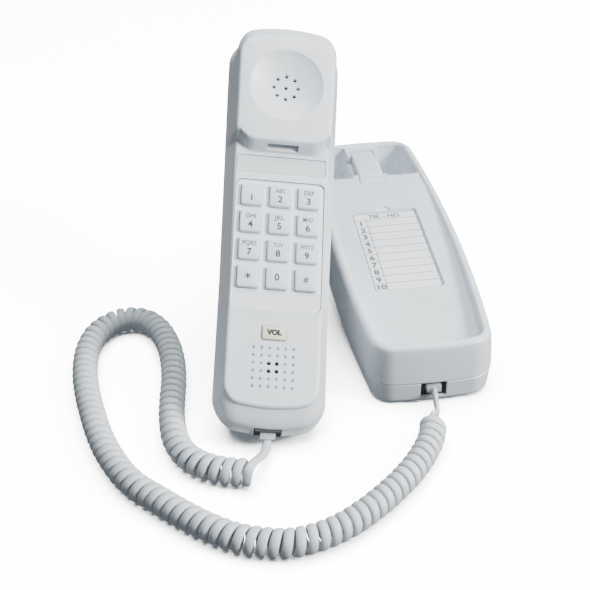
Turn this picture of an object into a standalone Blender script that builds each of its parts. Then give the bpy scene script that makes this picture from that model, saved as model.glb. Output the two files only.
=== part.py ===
"""Corded desk telephone with the keypad in its handset, taken off its base.

Metres, +Z up. The origin is the middle of the flat underside of the base. The base's long side lies
along Y: the handset's earpiece pocket is at +Y and the jack of the handset cord at -Y. The handset
stands on its chin beside the base and the curly cord lies on the table in front of both.
"""
import math

import bmesh
import bpy
from mathutils import Matrix, Vector

# Clearance between pieces that touch or slide
GAP = 0.0003

# Base, plan
BASE_LENGTH = 0.2200
BASE_BOW = 0.0022
BASE_CORNER = 0.0125
BASE_HALF_FRONT = 0.0335
BASE_HALF_MIDDLE = 0.0372
BASE_HALF_FAR = 0.0318
# Base, heights
SEAM_Z = 0.0120
RIM_FRONT_Z = 0.0340
RIM_FAR_Z = 0.0385
RIM_WIDTH = 0.0056
TRAY_DEPTH_FRONT = 0.0078
TRAY_DEPTH_POCKET = 0.0003
BASE_WALL = 0.0024
FOOT_HEIGHT = 0.0012
FOOT_RADIUS = 0.0060
# Earpiece pocket, its ridge and the hook lever in it
POCKET_Y = 0.0660
POCKET_FLOOR_Z = 0.0160
RIDGE_HALF_WIDTH = 0.0098
LEVER_HALF_WIDTH = 0.0070
LEVER_LENGTH = 0.0340
LEVER_HEIGHT = 0.0090
LEVER_DROP = 0.0035
PIN_RADIUS = 0.0012
# Wall hook, a tab in the tray's edge
HOOK_WIDTH = 0.0150
HOOK_LENGTH = 0.0062
HOOK_DEPTH = 0.0085
# Index card under its window
CARD_WIDTH = 0.0380
CARD_LENGTH = 0.0775
CARD_Y = -0.0122
CARD_THICKNESS = 0.0003
WINDOW_THICKNESS = 0.0006
CARD_CORNER = 0.0025
# Sockets and plugs of the cord
JACK_WIDTH = 0.0130
JACK_HEIGHT = 0.0084
JACK_LENGTH = 0.0130
PLUG_WIDTH = 0.0075
PLUG_HEIGHT = 0.0056
PLUG_LENGTH = 0.0115
PLUG_PROUD = 0.0032
BASE_JACK_Z = 0.0072
# Inside the base
BOARD_THICKNESS = 0.0016
BASE_BOARD_WIDTH = 0.0500
BASE_BOARD_LENGTH = 0.0620
BASE_BOARD_Y = 0.0150
RINGER_RADIUS = 0.0150
RINGER_HEIGHT = 0.0060
WEIGHT_THICKNESS = 0.0040
SCREW_RADIUS = 0.0015
SCREW_HEAD_RADIUS = 0.0028
POST_RADIUS = 0.0038

# Handset: own frame has X across, Y towards the earpiece and Z out of the keypad's face
HANDSET_LENGTH = 0.2140
HANDSET_HALF_CHIN = 0.0286
HANDSET_HALF_EAR = 0.0294
HANDSET_CORNER = 0.0120
HANDSET_BOW = 0.0020
HANDSET_WALL = 0.0020
PARTING_Z = -0.0120
EAR_FOOT_Y = 0.0363
EAR_EDGE_Y = 0.0399
EAR_EDGE_Z = 0.0070
EAR_SLOPE = math.radians(6.0)
DISH_Y = 0.0705
DISH_RADIUS = 0.0195
DISH_DEPTH = 0.0046
SOUND_HOLE_RADIUS = 0.0010
SOUND_RING_RADIUS = 0.0063
NOTCH_WIDTH = 0.0160
NOTCH_LOW_Z = 0.0012
NOTCH_HIGH_Z = 0.0050
# Keypad
KEY_PITCH_X = 0.0145
KEY_PITCH_Y = 0.0147
KEY_WIDTH = 0.0107
KEY_HEIGHT = 0.0116
KEY_TOP_Z = 0.0013
KEY_BOTTOM_Z = -0.0030
KEY_TRAVEL = 0.0012
KEY_STEM_RADIUS = 0.0020
KEY_STEM_LENGTH = 0.0013
KEYPAD_Y = -0.0100
PANEL_WIDTH = 0.0450
PANEL_TOP_Y = 0.0205
PANEL_LOW_Y = -0.0485
PANEL_DEPTH = 0.0008
PANEL_THICKNESS = 0.0016
PANEL_CORNER = 0.0030
MAT_THICKNESS = 0.0010
# Label strip, volume button and microphone
LABEL_WIDTH = 0.0455
LABEL_HEIGHT = 0.0088
LABEL_Y = 0.0295
LABEL_THICKNESS = 0.0007
VOLUME_WIDTH = 0.0120
VOLUME_HEIGHT = 0.0072
VOLUME_Y = -0.0605
VOLUME_TOP_Z = 0.0009
VOLUME_TRAVEL = 0.0008
MICROPHONE_Y = -0.0779
MICROPHONE_RADIUS = 0.0048
MICROPHONE_HEIGHT = 0.0050
MICROPHONE_PITCH = 0.0039
RECEIVER_RADIUS = 0.0165
RECEIVER_HEIGHT = 0.0080
# Where the handset stands
HANDSET_X = -0.0699
HANDSET_Y = -0.0566
HANDSET_YAW = math.radians(5.8)
HANDSET_TILT = math.radians(38.6)
HANDSET_LEAN = math.radians(-13.4)

# Cord
TABLE_Z = -FOOT_HEIGHT
COIL_RADIUS = 0.00675
LEAD_RADIUS = 0.00135
COIL_ROUTE = (
    (-0.0985, -0.1585), (-0.1095, -0.1552), (-0.1195, -0.1497), (-0.1272, -0.1410),
    (-0.1315, -0.1288), (-0.1325, -0.1130), (-0.1316, -0.0977), (-0.1302, -0.0836),
    (-0.1296, -0.0690), (-0.1308, -0.0515), (-0.1350, -0.0345), (-0.1414, -0.0243),
    (-0.1488, -0.0204), (-0.1568, -0.0207), (-0.1645, -0.0254), (-0.1708, -0.0345),
    (-0.1746, -0.0485), (-0.1756, -0.0656), (-0.1744, -0.0830), (-0.1719, -0.1002),
    (-0.1683, -0.1188), (-0.1635, -0.1352), (-0.1575, -0.1495), (-0.1506, -0.1605),
    (-0.1435, -0.1682), (-0.1362, -0.1762), (-0.1280, -0.1846), (-0.1192, -0.1925),
    (-0.1090, -0.1998), (-0.0975, -0.2046), (-0.0860, -0.2070), (-0.0745, -0.2057),
    (-0.0630, -0.2015), (-0.0515, -0.1945), (-0.0404, -0.1856), (-0.0304, -0.1763),
    (-0.0215, -0.1663), (-0.0142, -0.1560), (-0.0090, -0.1462), (-0.0063, -0.1372),
)
COIL_POINTS = 34
LEAD_POINTS = 14

MATERIALS = {
    "shell": ((0.72, 0.75, 0.77), 0.36, 0.0),
    "keys": ((0.76, 0.82, 0.86), 0.42, 0.0),
    "panel": ((0.82, 0.84, 0.85), 0.40, 0.0),
    "label": ((0.66, 0.69, 0.70), 0.35, 0.0),
    "volume": ((0.80, 0.76, 0.62), 0.45, 0.0),
    "card": ((0.88, 0.88, 0.86), 0.75, 0.0),
    "window": ((0.92, 0.95, 0.96), 0.08, 0.0),
    "jack": ((0.05, 0.05, 0.05), 0.45, 0.0),
    "plug": ((0.85, 0.87, 0.88), 0.12, 0.0),
    "rubber": ((0.05, 0.05, 0.05), 0.80, 0.0),
    "mat": ((0.35, 0.36, 0.37), 0.75, 0.0),
    "board": ((0.03, 0.18, 0.09), 0.55, 0.0),
    "steel": ((0.55, 0.56, 0.58), 0.35, 1.0),
    "capsule": ((0.10, 0.10, 0.11), 0.50, 0.0),
    "cord": ((0.76, 0.79, 0.81), 0.45, 0.0),
}


def clear_scene():
    """Remove every object that the scene holds."""
    for item in list(bpy.data.objects):
        bpy.data.objects.remove(item, do_unlink=True)


def material(name):
    """The shared Principled material of one finish."""
    found = bpy.data.materials.get(name)
    if found:
        return found
    colour, roughness, metallic = MATERIALS[name]
    made = bpy.data.materials.new(name)
    made.use_nodes = True
    shader = made.node_tree.nodes["Principled BSDF"]
    shader.inputs["Base Color"].default_value = (*colour, 1.0)
    shader.inputs["Roughness"].default_value = roughness
    shader.inputs["Metallic"].default_value = metallic
    made.diffuse_color = (*colour, 1.0)
    return made


def add_object(name, data, finish=None, parent=None, matrix=None):
    """Link an object, under a parent's frame when one is given."""
    item = bpy.data.objects.new(name, data)
    bpy.context.collection.objects.link(item)
    if finish:
        data.materials.append(material(finish))
    if parent:
        item.parent = parent
    if matrix:
        item.matrix_local = matrix
    return item


def loft(name, rings, finish=None, parent=None, matrix=None, smooth=False):
    """A closed solid through rings of equally many points, capped at both ends."""
    shape = bmesh.new()
    loops = [[shape.verts.new(point) for point in ring] for ring in rings]
    count = len(loops[0])
    for low, high in zip(loops, loops[1:]):
        for index in range(count):
            after = (index + 1) % count
            shape.faces.new((low[index], low[after], high[after], high[index]))
    shape.faces.new(loops[0])
    shape.faces.new(loops[-1])
    bmesh.ops.recalc_face_normals(shape, faces=shape.faces)
    mesh = bpy.data.meshes.new(name)
    shape.to_mesh(mesh)
    shape.free()
    if smooth:
        mesh.shade_smooth()
        mesh.set_sharp_from_angle(angle=math.radians(35))
    return add_object(name, mesh, finish, parent, matrix)


def prism(name, outline, low, high, **place):
    """A straight prism over a flat outline, between two heights."""
    return loft(name, [[(x, y, z) for x, y in outline] for z in (low, high)], **place)


def block(name, low, high, **place):
    """A box between two corners."""
    outline = [(low[0], low[1]), (high[0], low[1]), (high[0], high[1]), (low[0], high[1])]
    return prism(name, outline, low[2], high[2], **place)


def circle(radius, centre=(0.0, 0.0), sides=24):
    """A round outline."""
    turns = [2 * math.pi * step / sides for step in range(sides)]
    return [(centre[0] + radius * math.cos(turn), centre[1] + radius * math.sin(turn)) for turn in turns]


def rounded(width, length, corner, centre=(0.0, 0.0), steps=3):
    """A rectangle with round corners."""
    points = []
    for quarter, (side_x, side_y) in enumerate(((1, 1), (-1, 1), (-1, -1), (1, -1))):
        middle_x = centre[0] + side_x * (width / 2 - corner)
        middle_y = centre[1] + side_y * (length / 2 - corner)
        for step in range(steps + 1):
            turn = math.pi / 2 * (quarter + step / steps)
            points.append((middle_x + corner * math.cos(turn), middle_y + corner * math.sin(turn)))
    return points


def boolean(target, other, operation="DIFFERENCE"):
    """Cut the target with another solid, or join them, and hide the tool solid."""
    change = target.modifiers.new(other.name, "BOOLEAN")
    change.operation = operation
    change.solver = "EXACT"
    change.object = other
    other.hide_render = True
    other.display_type = "WIRE"


def cut(target, *cutters):
    """Cut the target with each cutter."""
    for cutter in cutters:
        boolean(target, cutter)


def join(target, *others):
    """Join each solid to the target."""
    for other in others:
        boolean(target, other, "UNION")


# The base -------------------------------------------------------------------------------------------

BASE_HALF = BASE_LENGTH / 2
TRAY_SLOPE = (RIM_FAR_Z - RIM_FRONT_Z) / BASE_LENGTH


def rim_z(y):
    """Height of the base's sloping rim."""
    return RIM_FRONT_Z + TRAY_SLOPE * (y + BASE_HALF)


def tray_z(y):
    """Height of the tray, which meets the rim at the pocket's edge."""
    share = (y + BASE_HALF) / (POCKET_Y + BASE_HALF)
    return rim_z(y) - TRAY_DEPTH_FRONT + (TRAY_DEPTH_FRONT - TRAY_DEPTH_POCKET) * share


def base_half_width(y):
    """Half the base's width at one place along it, widest in the middle."""
    end = BASE_HALF_FAR if y > 0 else BASE_HALF_FRONT
    return BASE_HALF_MIDDLE - (BASE_HALF_MIDDLE - end) * (y / BASE_HALF) ** 2


def base_outline(inset):
    """The base's plan outline, moved in, anticlockwise from the front right corner."""
    corner = BASE_CORNER - inset
    straight = BASE_HALF - BASE_CORNER
    points = []
    for quarter, (side_x, side_y) in enumerate(((1, -1), (1, 1), (-1, 1), (-1, -1))):
        middle_x = side_x * (base_half_width(side_y * straight) - inset - corner)
        for step in range(6):
            turn = math.pi / 2 * (quarter - 1 + step / 5)
            points.append([middle_x + corner * math.cos(turn), side_y * straight + corner * math.sin(turn)])
        if quarter % 2 == 0:
            for share in (0.15, 0.32, 0.5, 0.68, 0.85):
                y = -side_y * straight * (2 * share - 1)
                points.append([side_x * (base_half_width(y) - inset), y])
        else:
            end_half = base_half_width(side_y * straight) - inset
            points.extend([side_x * end_half * share, side_y * (BASE_HALF - inset)] for share in (0.4, 0, -0.4))
    for point in points:
        end_half = base_half_width(math.copysign(straight, point[1])) - inset
        if abs(point[1]) > straight:
            point[1] += math.copysign(BASE_BOW * max(0.0, 1 - (point[0] / end_half) ** 2), point[1])
    return [tuple(point) for point in points]


def crop(points, axis, limit, side):
    """The part of a flat outline beyond a limit along one axis, or short of it where side is -1."""
    kept = []
    for start, end in zip(points, points[1:] + points[:1]):
        if side * (start[axis] - limit) > 0:
            kept.append(start)
        if (start[axis] - limit) * (end[axis] - limit) < 0:
            share = (limit - start[axis]) / (end[axis] - start[axis])
            kept.append(tuple(a + share * (b - a) for a, b in zip(start, end)))
    return kept


def sloped(outline, height):
    """Points over a flat outline at a height that depends on y."""
    return [(x, y, height(y)) for x, y in outline]


def base_housing():
    """The upper housing: rim, tray, earpiece pocket with its ridge, and posts for the screws."""
    low = SEAM_Z + GAP / 2
    rings = [sloped(base_outline(0.0), lambda y: low)]
    for inset, below in ((0.0006, 0.0080), (0.0011, 0.0034), (0.0018, 0.0014), (0.0028, 0.0004), (0.0040, 0.0)):
        rings.append(sloped(base_outline(inset), lambda y, below=below: rim_z(y) - below))
    housing = loft("base_housing", rings, "shell", smooth=True)
    inner = base_outline(BASE_WALL + 0.0012)
    under_tray = crop(inner, 1, POCKET_Y - BASE_WALL, -1)
    under_pocket = crop(inner, 1, POCKET_Y - BASE_WALL - 0.002, 1)
    cut(housing, loft("tray_hollow", [
        sloped(under_tray, lambda y: 0.0),
        sloped(under_tray, lambda y: tray_z(y) - BASE_WALL - WINDOW_THICKNESS)]))
    cut(housing, prism("pocket_hollow", under_pocket, 0.0, POCKET_FLOOR_Z - BASE_WALL))
    for index, (x, y) in enumerate(screw_places()):
        post_top = (POCKET_FLOOR_Z if y > POCKET_Y else tray_z(y)) - 0.0010
        post = prism(f"post_{index}", circle(POST_RADIUS, (x, y), 12), BASE_WALL + GAP, post_top)
        join(housing, post)
    tray = base_outline(RIM_WIDTH)
    top = RIM_FAR_Z + 0.02
    cut(housing, loft("tray_cutter", [
        sloped(base_outline(RIM_WIDTH + 0.0010), tray_z),
        sloped(tray, lambda y: tray_z(y) + 0.0010),
        sloped(tray, lambda y: top)]))
    pocket = crop(tray, 1, POCKET_Y, 1)
    for side in (-1, 1):
        half = crop(pocket, 0, side * RIDGE_HALF_WIDTH, side)
        cut(housing, prism(f"pocket_{side + 1}", half, POCKET_FLOOR_Z, top))
    cut(housing, *lever_channel(top))
    cut(housing, card_prism("card_recess", GAP, -0.0002 - WINDOW_THICKNESS - CARD_THICKNESS - 2 * GAP, 0.004))
    cut(housing, hook_block("hook_slot", GAP, tray_z(POCKET_Y) - HOOK_DEPTH - GAP, top))
    for index, (x, y) in enumerate(screw_places()):
        cut(housing, prism(f"pilot_{index}", circle(SCREW_RADIUS + GAP, (x, y), 12), 0.0, 0.0110))
    cut(housing, jack_mouth("front_mouth", -1), jack_mouth("far_mouth", 1))
    return housing


def screw_places():
    """Where the two base screws stand."""
    return ((0.0, -BASE_HALF + 0.030), (0.0, POCKET_Y + 0.010))


def lever_channel(top):
    """The slot in the ridge that the hook lever lies in, and the pin's hole through its sides."""
    low = rim_z(POCKET_Y) - LEVER_HEIGHT - LEVER_DROP
    far = POCKET_Y + LEVER_LENGTH + 2 * GAP
    half = LEVER_HALF_WIDTH + GAP
    slot = block("lever_slot", (-half, POCKET_Y - GAP, low), (half, far, top))
    reach = RIDGE_HALF_WIDTH + 0.002
    hole = rod("pin_hole", PIN_RADIUS + GAP, -reach, reach, lever_axis())
    return slot, hole


def lever_axis():
    """Where the lever's pin crosses the ridge: y and z."""
    return POCKET_Y + LEVER_LENGTH - 0.0035, rim_z(POCKET_Y) - 0.0060


def rod(name, radius, low, high, axis, **place):
    """A round rod along X."""
    outline = circle(radius, axis, 12)
    return loft(name, [[(x, y, z) for y, z in outline] for x in (low, high)], **place)


def hook_lever():
    """The lever that the earpiece presses down, hinged at the pocket's far end."""
    near = POCKET_Y + GAP
    far = POCKET_Y + LEVER_LENGTH
    pivot = Vector((0.0, *lever_axis()))
    half = LEVER_HALF_WIDTH
    low = rim_z(POCKET_Y) - LEVER_HEIGHT
    profile = [(near, low), (far, low), (far, rim_z(far) - 0.0020), (far - 0.0015, rim_z(far) - 0.0006),
               (near, rim_z(near) - 0.0003)]
    rings = [[(x, y - pivot.y, z - pivot.z) for y, z in profile] for x in (-half, half)]
    lever = loft("hook_lever", rings, "shell", matrix=Matrix.Translation(pivot))
    cut(lever, rod("lever_bore", PIN_RADIUS + GAP, -0.012, 0.012, lever_axis()))
    rod("hook_pin", PIN_RADIUS, -RIDGE_HALF_WIDTH, RIDGE_HALF_WIDTH, lever_axis(), finish="steel", smooth=True)
    return lever


def hook_block(name, clearance, low, high, **place):
    """The upright block of the wall hook, or its slot when it is given a clearance."""
    half = HOOK_WIDTH / 2 + clearance
    near = POCKET_Y - HOOK_LENGTH - GAP - clearance
    return block(name, (-half, near, low), (half, POCKET_Y - GAP, high), **place)


def wall_hook():
    """The wall hook: a tab that lies flush in the tray's edge and pulls out upwards."""
    low = tray_z(POCKET_Y) - HOOK_DEPTH
    hook_block("wall_hook", 0.0, low, tray_z(POCKET_Y - HOOK_LENGTH) - 0.0001, finish="shell")


def card_matrix(below):
    """The tray's own frame at the card's middle, sunk by a distance."""
    slope = math.atan2(tray_z(CARD_Y + 0.01) - tray_z(CARD_Y), 0.01)
    return Matrix.Translation((0.0, CARD_Y, tray_z(CARD_Y))) @ Matrix.Rotation(slope, 4, "X") \
        @ Matrix.Translation((0.0, 0.0, below))


def card_prism(name, margin, low, high, **place):
    """A prism over the card's rounded outline, square to the tray."""
    outline = rounded(CARD_WIDTH + 2 * margin, CARD_LENGTH + 2 * margin, CARD_CORNER)
    return prism(name, outline, low, high, matrix=card_matrix(0.0), **place)


def index_card():
    """The card and the clear window over it, in the tray's recess."""
    window_low = -0.0002 - WINDOW_THICKNESS
    card_prism("card_window", 0.0, window_low, -0.0002, finish="window")
    card_high = window_low - GAP
    card_prism("index_card", 0.0, card_high - CARD_THICKNESS, card_high, finish="card")


def jack_mouth(name, side):
    """The mouth of a socket in the base's front or far wall."""
    half = JACK_WIDTH / 2 + GAP
    outer = side * (BASE_HALF + 0.01)
    inner = side * (BASE_HALF - JACK_LENGTH)
    low_y, high_y = sorted((inner, outer))
    low_z = BASE_JACK_Z - JACK_HEIGHT / 2 - GAP
    return block(name, (-half, low_y, low_z), (half, high_y, low_z + JACK_HEIGHT + 2 * GAP))


def bottom_plate():
    """The lower housing: a shallow tub with the sockets' mouths and holes for the screws."""
    rings = []
    for inset, z in ((0.0042, 0.0), (0.0030, 0.0006), (0.0016, 0.0030), (0.0006, SEAM_Z - GAP / 2)):
        rings.append(sloped(base_outline(inset), lambda y, z=z: z))
    plate = loft("bottom_plate", rings, "shell", smooth=True)
    cut(plate, prism("plate_hollow", base_outline(BASE_WALL + 0.0012), BASE_WALL, SEAM_Z + 0.01))
    cut(plate, jack_mouth("plate_front_mouth", -1), jack_mouth("plate_far_mouth", 1))
    for index, (x, y) in enumerate(screw_places()):
        shank = prism(f"shank_{index}", circle(SCREW_RADIUS + GAP, (x, y), 12), -0.01, 0.01)
        head = prism(f"head_{index}", circle(SCREW_HEAD_RADIUS + GAP, (x, y), 12), -0.01, BASE_WALL / 2 + GAP)
        cut(plate, shank, head)
        shape = prism(f"base_screw_{index + 1}", circle(SCREW_RADIUS, (x, y), 12), BASE_WALL / 2 - 0.0002,
                      0.0100, finish="steel")
        join(shape, prism(f"screw_head_{index}", circle(SCREW_HEAD_RADIUS, (x, y), 12), 0.0002, BASE_WALL / 2))


def feet():
    """Four rubber feet under the bottom plate."""
    places = [(side_x * 0.0200, side_y * (BASE_HALF - 0.0230)) for side_y in (-1, 1) for side_x in (-1, 1)]
    for index, place in enumerate(places):
        prism(f"foot_{index + 1}", circle(FOOT_RADIUS, place, 16), -FOOT_HEIGHT, -0.0001, finish="rubber")


def socket(name, outer_face, matrix, **place):
    """A modular socket: a block with a square well that the plug fits, open towards -Y."""
    half = JACK_WIDTH / 2
    low = (-half, outer_face, -JACK_HEIGHT / 2)
    high = (half, outer_face + JACK_LENGTH, JACK_HEIGHT / 2)
    body = block(name, low, high, finish="jack", matrix=matrix, **place)
    well_half = PLUG_WIDTH / 2 + GAP
    well_z = PLUG_HEIGHT / 2 + GAP
    well = block(f"{name}_well", (-well_half, outer_face - 0.01, -well_z),
                 (well_half, outer_face + PLUG_LENGTH - PLUG_PROUD + GAP, well_z), matrix=matrix, **place)
    cut(body, well)


def plug(name, outer_face, matrix, **place):
    """The clear plug on a cord's end, seated in its socket."""
    half = PLUG_WIDTH / 2
    near = outer_face - PLUG_PROUD
    block(name, (-half, near, -PLUG_HEIGHT / 2), (half, near + PLUG_LENGTH, PLUG_HEIGHT / 2),
          finish="plug", matrix=matrix, **place)


def base_sockets():
    """The handset cord's socket with its plug at the front, and the line socket at the far end."""
    front = Matrix.Translation((0.0, 0.0, BASE_JACK_Z))
    outer_face = -BASE_HALF + 0.0010
    socket("base_jack", outer_face, front)
    plug("base_plug", outer_face, front)
    socket("line_jack", outer_face, Matrix.Translation((0.0, 0.0, BASE_JACK_Z)) @ Matrix.Rotation(math.pi, 4, "Z"))


def base_inside():
    """Ballast, circuit board, ringer and the hook switch on the bottom plate."""
    floor = BASE_WALL + GAP
    weight_top = floor + WEIGHT_THICKNESS
    block("weight_plate", (-0.0240, -0.0700, floor), (0.0240, -0.0250, weight_top), finish="steel")
    board_y = BASE_BOARD_Y
    half = BASE_BOARD_WIDTH / 2
    block("base_board", (-half, board_y - BASE_BOARD_LENGTH / 2, floor),
          (half, board_y + BASE_BOARD_LENGTH / 2, floor + BOARD_THICKNESS), finish="board")
    board_top = floor + BOARD_THICKNESS + GAP
    prism("ringer", circle(RINGER_RADIUS, (0.0, board_y - 0.010), 24), board_top, board_top + RINGER_HEIGHT,
          finish="capsule", smooth=True)
    block("hook_switch", (-0.0060, board_y + 0.0120, board_top), (0.0060, board_y + 0.0260, board_top + 0.0070),
          finish="capsule")


# The handset ----------------------------------------------------------------------------------------

HANDSET_HALF = HANDSET_LENGTH / 2


def ear_z(y):
    """Height of the earpiece block's face."""
    return EAR_EDGE_Z + math.tan(EAR_SLOPE) * (y - EAR_EDGE_Y)


def handset_half_width(y, inset):
    """Half the handset's width with its rounded ends."""
    share = min(1.0, max(0.0, (y + 0.03) / 0.11))
    full = HANDSET_HALF_CHIN + (HANDSET_HALF_EAR - HANDSET_HALF_CHIN) * share - inset
    corner = HANDSET_CORNER - inset
    into = min(corner, HANDSET_HALF - inset - abs(y))
    return full - corner + math.sqrt(max(0.0, corner ** 2 - (corner - into) ** 2))


def bowed(y, x, half):
    """How far a point near a rounded end moves out along the handset."""
    near = max(0.0, 1 - (HANDSET_HALF - abs(y)) / 0.02)
    return y + math.copysign(HANDSET_BOW * near * (1 - (x / (half + 0.004)) ** 2), y)


def front_stations(inset):
    """Places along the handset's front with the height of its face."""
    chin = -HANDSET_HALF + inset
    crown = HANDSET_HALF - inset
    foot = EAR_FOOT_Y + inset
    edge = EAR_EDGE_Y + inset
    places = [(chin, -0.0072), (chin + 0.0006, -0.0045), (chin + 0.0020, -0.0020), (chin + 0.0046, -0.0004),
              (chin + 0.0080, 0.0), (-0.0550, 0.0), (-0.0050, 0.0), (foot, 0.0),
              (edge - 0.0002, EAR_EDGE_Z - 0.0012), (edge + 0.0014, ear_z(edge) + 0.0002),
              (0.0700, ear_z(0.0700)), (crown - 0.0090, ear_z(crown - 0.0090)),
              (crown - 0.0058, ear_z(crown) - 0.0016), (crown - 0.0030, ear_z(crown) - 0.0056),
              (crown - 0.0010, ear_z(crown) - 0.0130), (crown, PARTING_Z + 0.0030)]
    return [(y, z - inset) for y, z in places]


def front_ring(y, z, inset, low):
    """One cross-section of the handset's front, from its parting plane up to its face."""
    half = handset_half_width(y, inset)
    side = []
    for x, height in ((half, low), (half - 0.0008, low + 0.45 * (z - low)), (half - 0.0026, z - 0.0026),
                      (half - 0.0036, z - 0.0008), (half - 0.0058, z)):
        side.append((x, height))
    ring = side + [(-x, height) for x, height in reversed(side)]
    return [(x, bowed(y, x, half), height) for x, height in ring]


def back_stations(inset):
    """Places along the handset's back with the depth of its curved back."""
    chin = -HANDSET_HALF + inset
    crown = HANDSET_HALF - inset
    places = [(chin, -0.0166), (chin + 0.0008, -0.0195), (chin + 0.0030, -0.0226), (chin + 0.0080, -0.0248),
              (-0.0700, -0.0262), (-0.0300, -0.0288), (0.0100, -0.0300), (0.0500, -0.0290),
              (0.0800, -0.0256), (crown - 0.0090, -0.0208), (crown - 0.0036, -0.0176), (crown, -0.0150)]
    return [(y, z + inset) for y, z in places]


def back_z(y):
    """Depth of the handset's back at one place along it."""
    for (start, low), (end, high) in zip(back_stations(0.0), back_stations(0.0)[1:]):
        if start <= y <= end:
            return low + (high - low) * (y - start) / (end - start)
    return back_stations(0.0)[-1][1]


def back_ring(y, z, inset, high):
    """One cross-section of the handset's back, from its parting plane down to its back."""
    half = handset_half_width(y, inset)
    depth = high - z
    side = [(half, high), (half - 0.0010, high - 0.42 * depth), (half - 0.0034, high - 0.78 * depth),
            (half - 0.0070, high - 0.95 * depth), (half - 0.0115, z)]
    ring = side + [(-x, height) for x, height in reversed(side)]
    return [(x, bowed(y, x, half), height) for x, height in ring]


def handset_matrix():
    """Where the handset stands: on its chin, leaning back and towards the base."""
    turn = Matrix.Rotation(HANDSET_YAW, 4, "Z") @ Matrix.Rotation(HANDSET_TILT, 4, "X") \
        @ Matrix.Rotation(HANDSET_LEAN, 4, "Z")
    lowest = min((turn @ Vector(point)).z for y, z in back_stations(0.0)
                 for point in back_ring(y, z, 0.0, PARTING_Z))
    return Matrix.Translation((HANDSET_X, HANDSET_Y, TABLE_Z + GAP / 2 - lowest)) @ turn


def shell_piece(name, stations, ring, level, over, frame):
    """One half of the handset's shell, hollowed from its parting plane."""
    piece = loft(name, [ring(y, z, 0.0, level) for y, z in stations(0.0)], "shell", frame, smooth=True)
    hollow = loft(f"{name}_hollow", [ring(y, z, HANDSET_WALL, over) for y, z in stations(HANDSET_WALL)],
                  parent=frame)
    cut(piece, hollow)
    return piece


def dish_cutter(frame):
    """The round dish of the earpiece, a shallow cap of a sphere pressed into the block's face."""
    radius = (DISH_RADIUS ** 2 + DISH_DEPTH ** 2) / (2 * DISH_DEPTH)
    rings = []
    for depth in (DISH_DEPTH - 0.0001, 0.85 * DISH_DEPTH, 0.6 * DISH_DEPTH, 0.3 * DISH_DEPTH, 0.0):
        across = math.sqrt(radius ** 2 - (radius - DISH_DEPTH + depth) ** 2)
        rings.append([(x, y, -depth) for x, y in circle(across, sides=32)])
    rings.append([(x, y, 0.01) for x, y in circle(DISH_RADIUS, sides=32)])
    return loft("dish_cutter", rings, parent=frame, matrix=ear_matrix())


def ear_matrix():
    """The earpiece block's own frame at the middle of the dish."""
    return Matrix.Translation((0.0, DISH_Y, ear_z(DISH_Y))) @ Matrix.Rotation(EAR_SLOPE, 4, "X")


def handset_front(frame):
    """The front shell with the keypad's opening, the earpiece dish and the sound holes."""
    shell = shell_piece("handset_front", front_stations, front_ring, PARTING_Z + GAP / 2, PARTING_Z - 0.01, frame)
    web = prism("dish_web", circle(DISH_RADIUS + 0.0010, sides=32), -DISH_DEPTH - HANDSET_WALL, -0.0012,
                parent=frame, matrix=ear_matrix())
    join(shell, web)
    cut(shell, dish_cutter(frame))
    places = [(0.0, 0.0)]
    for step in range(8):
        turn = math.pi / 4 * step
        places.append((SOUND_RING_RADIUS * math.cos(turn), SOUND_RING_RADIUS * math.sin(turn)))
    for index, place in enumerate(places):
        cut(shell, prism(f"ear_hole_{index}", circle(SOUND_HOLE_RADIUS, place, 8), -0.02, 0.0,
                         parent=frame, matrix=ear_matrix()))
    for index, (side_x, side_y) in enumerate(((-1, -1), (1, -1), (-1, 1), (1, 1))):
        place = (side_x * MICROPHONE_PITCH / 2, MICROPHONE_Y + side_y * MICROPHONE_PITCH / 2)
        cut(shell, prism(f"mouth_hole_{index}", circle(SOUND_HOLE_RADIUS, place, 8), -0.005, 0.005, parent=frame))
    cut(shell, prism("panel_opening", panel_outline(GAP), -0.005, 0.005, parent=frame))
    volume = rounded(VOLUME_WIDTH + 2 * GAP, VOLUME_HEIGHT + 2 * GAP, 0.0010, (0.0, VOLUME_Y))
    cut(shell, prism("volume_opening", volume, -0.005, 0.005, parent=frame))
    label = rounded(LABEL_WIDTH + 2 * GAP, LABEL_HEIGHT + 2 * GAP, 0.0012, (0.0, LABEL_Y))
    cut(shell, prism("label_recess", label, -LABEL_THICKNESS - 2 * GAP, 0.005, parent=frame))
    cut(shell, block("notch", (-NOTCH_WIDTH / 2, EAR_FOOT_Y - 0.006, NOTCH_LOW_Z),
                     (NOTCH_WIDTH / 2, EAR_EDGE_Y + 0.006, NOTCH_HIGH_Z), parent=frame))
    cut(shell, handset_mouth("front_cord_mouth", frame))


def handset_mouth(name, frame):
    """The cord socket's mouth in the handset's chin."""
    half = JACK_WIDTH / 2 + GAP
    reach = JACK_HEIGHT / 2 + GAP
    return block(name, (-half, -HANDSET_HALF - 0.01, PARTING_Z - reach),
                 (half, -HANDSET_HALF + JACK_LENGTH, PARTING_Z + reach), parent=frame)


def handset_screw_places():
    """Where the two screws in the handset's back stand, along the handset."""
    return -0.0585, 0.0265


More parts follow.
